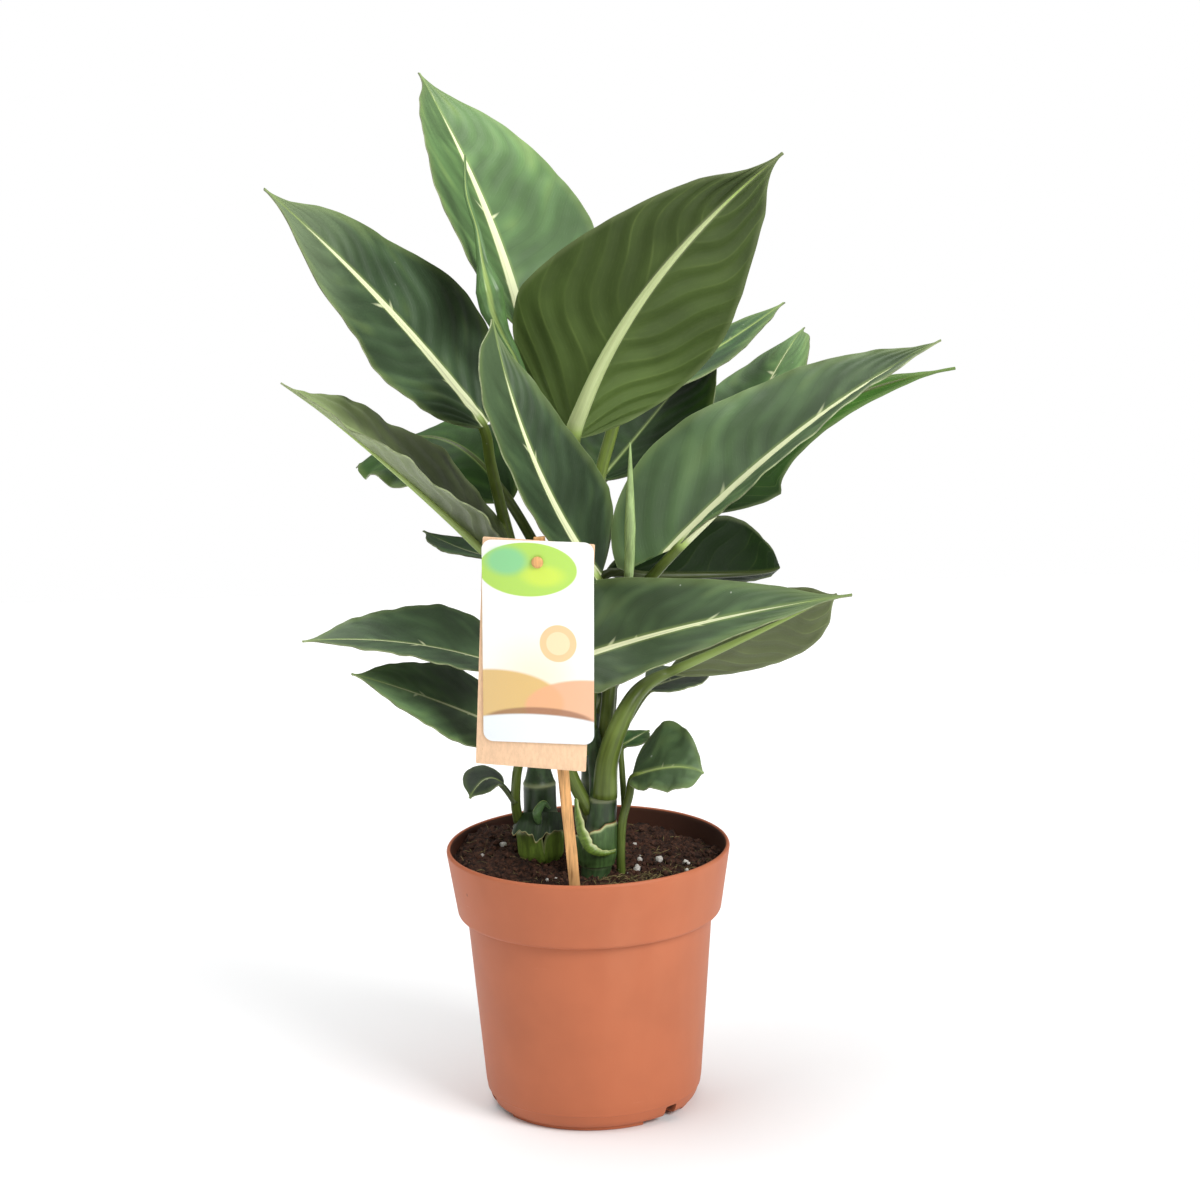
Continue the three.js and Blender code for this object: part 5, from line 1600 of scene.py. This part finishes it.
def make_perlite(settings):
    """White grains of perlite, pressed a little into the peat."""
    roll = random.Random(5)
    models = [lump(f"grain_{k}", 2, roll, 0.9) for k in range(4)]
    places = []
    for _ in range(settings.grains):
        size = 0.6 + 1.3 * roll.random() ** 1.3
        places.append(tumbled(on_soil(roll) + Vector((0, 0, 0.35 * size)), size, roll))
    skin = plain_grain("perlite_grain", settings.perlite, 0.7, 1.0, 900.0, 0.85, 0.7)
    piece = scatter("perlite_grains", models, places, skin)
    smooth(piece)
    finish_piece(piece, "soil")


def make_fibres(settings):
    """Straws and root hairs, thick together at the right front."""
    roll = random.Random(31)
    pieces = []
    for k in range(settings.fibres):
        if k % 2:
            place = on_soil(roll)
        else:
            bearing = math.radians(roll.gauss(-58, 17))
            radius = roll.uniform(34, 55)
            x, y = radius * math.cos(bearing), radius * math.sin(bearing)
            place = Vector((x, y, float(soil_height(np.array([x]), np.array([y]))[0]) + 0.6))
        heading = roll.uniform(0, 2 * math.pi)
        length = roll.uniform(1.8, 6.0)
        step = Vector((math.cos(heading), math.sin(heading), 0)) * length / 2
        middle = place + Vector((0, 0, roll.uniform(0.3, 1.1)))
        ends = [place - step, place + step + Vector((0, 0, roll.uniform(-0.3, 1.6)))]
        if any(end.xy.length > 56.5 for end in ends):
            continue
        thick = roll.uniform(0.05, 0.15)
        stations = [(*ends[0], thick * 0.6), (*middle, thick), (*ends[1], thick * 0.5)]
        pieces.append(tube(f"fibre_{k}", stations, steps=3, sides=4))
    piece = join(pieces, "soil_fibres")
    clothe(piece, plain_grain("straw_fibre", settings.straw, 0.35, 1.1, 260.0, 0.8, 0.4))
    finish_piece(piece, "soil")


# ---------------------------------------------------------------- label


def label_place(swing, inset):
    """From a card's own place to the object's: it hangs askew on the peg and leans with the stick."""
    turn = Matrix.Rotation(math.radians(CARD_TURN), 4, "Z")
    lean = Matrix.Rotation(math.radians(CARD_LEAN), 4, "X")
    askew = Matrix.Rotation(math.radians(swing), 4, "Y")
    return Matrix.Translation(PEG_PLACE * MM) @ turn @ lean @ Matrix.Translation((0, inset * MM, 0)) @ askew


def make_card(name, node, height, corner, swing, inset, slot, skin):
    """A card with two round lower corners, cut from a plane, thickened and hung on the peg."""
    deselect()
    bpy.ops.mesh.primitive_plane_add(size=1.0)
    piece = named(name)
    edit_all()
    bpy.ops.transform.resize(value=(CARD_WIDTH * MM, height * MM, 1))
    leave_edit()
    for vertex in piece.data.vertices:
        vertex.select = vertex.co.y < 0
    bpy.ops.object.mode_set(mode="EDIT")
    bpy.ops.mesh.select_mode(type="VERT")
    bpy.ops.mesh.bevel(offset=corner * MM, segments=10, affect="VERTICES")
    cut_rings((0, 1, 0), height, 0.46, CARD_CUTS)
    leave_edit()
    across = np.array([v.co.x / (CARD_WIDTH * MM) + 0.5 for v in piece.data.vertices])
    along = np.array([v.co.y / (height * MM) + 0.5 for v in piece.data.vertices])
    rewrite_surface(piece, across, along)
    middle = (PEG_BELOW_TOP - height / 2) * MM
    forward = Matrix.Translation((0, -CARD_THICKNESS / 2 * MM, middle))
    move_by(piece, label_place(swing, inset) @ (forward @ Matrix.Rotation(math.pi / 2, 4, "X")))
    clothe(piece, skin)
    apply_modifier(piece, "SOLIDIFY", thickness=CARD_THICKNESS * MM, offset=0.0)
    apply_modifier(piece, "BEVEL", width=0.12 * MM, segments=2, limit_method="ANGLE")
    smooth(piece, 40)
    finish_piece(piece, slot, node)


def make_peg(wood):
    """The turned peg, its head in front of the cards."""
    seat = CARD_THICKNESS + CARD_GAP
    profile = [(0, -PEG_REACH), (PEG_RADIUS, -PEG_REACH), (PEG_RADIUS, seat), (2 * PEG_RADIUS, seat),
               (2 * PEG_RADIUS, seat + 0.7), (1.4 * PEG_RADIUS, seat + 1.2), (0, seat + 1.2)]
    piece = spin_profile("label_peg_turned", rounded(profile, 0.3, 3), 40)
    move_by(piece, label_place(0, 0) @ Matrix.Rotation(math.pi / 2, 4, "X"))
    clothe(piece, wood)
    smooth(piece, 40)
    finish_piece(piece, "stick", "label_peg")


def make_stick(wood):
    """A stick split from a board: a little uneven along its edges."""
    line = STICK_TOP - STICK_FOOT
    deselect()
    bpy.ops.mesh.primitive_cube_add(size=1.0)
    piece = named("label_stick_split")
    edit_all()
    bpy.ops.transform.resize(value=(STICK_WIDTH * MM, STICK_DEPTH * MM, line.length * MM))
    cut_rings((0, 0, 1), line.length, 0.49, STICK_CUTS)
    leave_edit()
    for vertex in piece.data.vertices:
        waver = noise.noise(Vector((7.1 if vertex.co.x > 0 else 1.3, 0.4, vertex.co.z * 90)))
        vertex.co.x += 0.22 * MM * waver
        vertex.co.y += 0.12 * MM * noise.noise(Vector((3.3, vertex.co.y * 900, vertex.co.z * 70)))
    apply_modifier(piece, "BEVEL", width=0.3 * MM, segments=2, limit_method="ANGLE",
                   angle_limit=math.radians(50))
    turn = Vector((0, 0, 1)).rotation_difference(line).to_matrix().to_4x4()
    move_by(piece, Matrix.Translation((STICK_FOOT + line / 2) * MM) @ turn)
    clothe(piece, wood)
    smooth(piece, 35)
    finish_piece(piece, "stick", "label_stick")


# ---------------------------------------------------------------- stage


def make_floor():
    """A pale table top. Past its edge the white surroundings are seen."""
    deselect()
    bpy.ops.mesh.primitive_plane_add(size=1.0)
    piece = named("floor")
    edit_all()
    bpy.ops.transform.resize(value=(FLOOR_SIZE, FLOOR_SIZE, 1))
    leave_edit()
    material, r, shader = new_material("pale_floor", 0.7, 0.2)
    place = r.object_place()
    away = r.node("ShaderNodeVectorMath", operation="LENGTH")
    r.feed(away.inputs[0], place)
    outer = r.smooth(away.outputs["Value"], 0.15, 0.7)
    tone = r.math("MULTIPLY_ADD", r.noise(place, 3.0, 2.0), 0.06, outer)
    r.feed(shader.inputs["Base Color"], r.mix(tone, (0.88, 0.885, 0.89), (0.97, 0.97, 0.97)))
    r.feed(shader.inputs["Emission Color"], r.mix(outer, (0.0, 0.0, 0.0), (1.0, 1.0, 1.0)))
    shader.inputs["Emission Strength"].default_value = FLOOR_GLOW
    clothe(piece, material)


def add_light(name, power, size, place):
    """A square soft box of a size in metres, turned towards the plant."""
    deselect()
    bpy.ops.object.light_add(type="AREA", location=place)
    light = bpy.context.object
    light.name = name
    light.data.energy = power
    light.data.shape = "RECTANGLE"
    light.data.size = size
    light.data.size_y = size
    light.rotation_euler = (LIGHTS_AIM - Vector(place)).to_track_quat("-Z", "Y").to_euler()


def make_lights(settings):
    """Three soft boxes, and dim white surroundings that the camera sees as plain white."""
    add_light("key_box", settings.key_power, 0.9, (1.1, -1.2, 1.2))
    add_light("fill_box", settings.fill_power, 1.2, (-1.2, -0.7, 1.5))
    add_light("top_box", settings.top_power, 1.7, (-0.3, 0.3, 1.8))
    world = bpy.data.worlds.new("studio_surroundings")
    world.use_nodes = True
    surround = world.node_tree.nodes["Background"]
    surround.inputs["Color"].default_value = (1.0, 1.0, 1.0, 1.0)
    surround.inputs["Strength"].default_value = settings.ambience
    r = Recipe(world.node_tree)
    seen = r.node("ShaderNodeBackground")
    seen.inputs["Color"].default_value = (1.0, 1.0, 1.0, 1.0)
    chosen = r.node("ShaderNodeMixShader")
    r.feed(chosen.inputs[0], r.node("ShaderNodeLightPath").outputs["Is Camera Ray"])
    r.feed(chosen.inputs[1], surround.outputs[0])
    r.feed(chosen.inputs[2], seen.outputs[0])
    r.feed(world.node_tree.nodes["World Output"].inputs["Surface"], chosen.outputs[0])
    bpy.context.scene.world = world


def make_camera():
    """The camera at the photograph's viewpoint."""
    deselect()
    bpy.ops.object.camera_add()
    camera = bpy.context.object
    camera.name = "photo_view"
    camera.data.sensor_width = SENSOR
    camera.data.lens = FOCAL_PIXELS * SENSOR / IMAGE_WIDTH
    camera.data.clip_start = 0.05
    camera.data.clip_end = 50
    camera.matrix_world = (Matrix.Translation(CAMERA_PLACE * MM)
                           @ Matrix.Rotation(math.radians(-CAMERA_YAW), 4, "Z")
                           @ Matrix.Rotation(math.radians(90 - CAMERA_PITCH), 4, "X")
                           @ Matrix.Rotation(math.radians(-CAMERA_ROLL), 4, "Z"))
    bpy.context.scene.camera = camera


# ---------------------------------------------------------------- operators and panel


class PLANT_OT_stage(bpy.types.Operator):
    """Set up the pale floor, the soft boxes and the camera"""

    bl_idname = "plant.stage"
    bl_label = "Studio"

    def execute(self, context):
        make_floor()
        make_lights(context.scene.plant_studio)
        make_camera()
        context.scene.view_settings.view_transform = "Standard"
        return {"FINISHED"}


class PLANT_OT_pot(bpy.types.Operator):
    """Spin the moulded pot and cut its drain holes and notches"""

    bl_idname = "plant.pot"
    bl_label = "Pot"

    def execute(self, context):
        make_pot(context.scene.plant_pot)
        return {"FINISHED"}


class PLANT_OT_soil(bpy.types.Operator):
    """Fill the pot with peat, crumbs, perlite and fibres"""

    bl_idname = "plant.soil"
    bl_label = "Soil"

    def execute(self, context):
        settings = context.scene.plant_soil
        make_soil_body(moist_peat(settings))
        make_crumbs(settings)
        make_perlite(settings)
        make_fibres(settings)
        return {"FINISHED"}


class PLANT_OT_canes(bpy.types.Operator):
    """Grow the three canes with their leaf scars"""

    bl_idname = "plant.canes"
    bl_label = "Canes"

    def execute(self, context):
        bark = cane_bark(context.scene.plant_leaves)
        for name, stations in CANES.items():
            make_cane(name, stations, bark)
        return {"FINISHED"}


class PLANT_OT_leaves(bpy.types.Operator):
    """Grow the open leaves, each with its midrib and petiole"""

    bl_idname = "plant.leaves"
    bl_label = "Leaves"

    def execute(self, context):
        for grown in LEAVES:
            make_leaf(grown, context.scene.plant_leaves)
        return {"FINISHED"}


class PLANT_OT_spears(bpy.types.Operator):
    """Roll the young leaves"""

    bl_idname = "plant.spears"
    bl_label = "Young leaves"

    def execute(self, context):
        for name, stations in SPEARS.items():
            make_spear(name, stations, young_blade(name, context.scene.plant_leaves))
        return {"FINISHED"}


class PLANT_OT_sheaths(bpy.types.Operator):
    """Wrap the cut leaf bases round the canes"""

    bl_idname = "plant.sheaths"
    bl_label = "Sheaths"

    def execute(self, context):
        for name, form in SHEATHS.items():
            make_sheath(name, form, sheath_skin(name, swatch(form["green"]), form["pale_from"]))
        for name, (colour, pale_from, near_edge, far_edge) in FLAPS.items():
            make_flap(name, colour, pale_from, near_edge, far_edge)
        return {"FINISHED"}


class PLANT_OT_label(bpy.types.Operator):
    """Hang the two cards on the stick with their peg"""

    bl_idname = "plant.label"
    bl_label = "Label"

    def execute(self, context):
        settings = context.scene.plant_label
        wood = stick_wood(settings)
        make_card("label_front", "label_card", FRONT_CARD_HEIGHT, FRONT_CARD_CORNER, FRONT_CARD_SWING, 0,
                  "front_card", printed_card(settings))
        make_card("label_kraft", "label_back", BACK_CARD_HEIGHT, BACK_CARD_CORNER, BACK_CARD_SWING,
                  CARD_THICKNESS + CARD_GAP, "back_card", kraft_board(settings))
        make_peg(wood)
        make_stick(wood)
        return {"FINISHED"}


class PLANT_PT_parts(bpy.types.Panel):
    """Lists the parts of the plant"""

    bl_idname = "PLANT_PT_parts"
    bl_label = "Potted dieffenbachia"
    bl_space_type = "VIEW_3D"
    bl_region_type = "UI"
    bl_category = "Dieffenbachia"

    def draw(self, context):
        for operator in OPERATORS:
            self.layout.operator(operator.bl_idname)
        for name in SETTINGS:
            box = self.layout.box()
            group = getattr(context.scene, name)
            for title in group.bl_rna.properties.keys():
                if title not in ("rna_type", "name"):
                    box.prop(group, title)


SETTINGS = {"plant_leaves": LeafSettings, "plant_pot": PotSettings, "plant_soil": SoilSettings,
            "plant_label": LabelSettings, "plant_studio": StudioSettings}
OPERATORS = (PLANT_OT_stage, PLANT_OT_pot, PLANT_OT_soil, PLANT_OT_canes, PLANT_OT_leaves, PLANT_OT_spears,
             PLANT_OT_sheaths, PLANT_OT_label)


def register():
    """Makes the settings, the operators and the panel known to Blender."""
    for group in (*SETTINGS.values(), *OPERATORS, PLANT_PT_parts):
        bpy.utils.register_class(group)
    for name, group in SETTINGS.items():
        setattr(bpy.types.Scene, name, PointerProperty(type=group))


def unregister():
    """Takes them away again."""
    for name in SETTINGS:
        delattr(bpy.types.Scene, name)
    for group in reversed((*SETTINGS.values(), *OPERATORS, PLANT_PT_parts)):
        bpy.utils.unregister_class(group)


def main():
    """Runs the operators in order."""
    register()
    bpy.ops.plant.stage()
    bpy.ops.plant.pot()
    bpy.ops.plant.soil()
    bpy.ops.plant.canes()
    bpy.ops.plant.leaves()
    bpy.ops.plant.spears()
    bpy.ops.plant.sheaths()
    bpy.ops.plant.label()


if __name__ == "__main__":
    main()
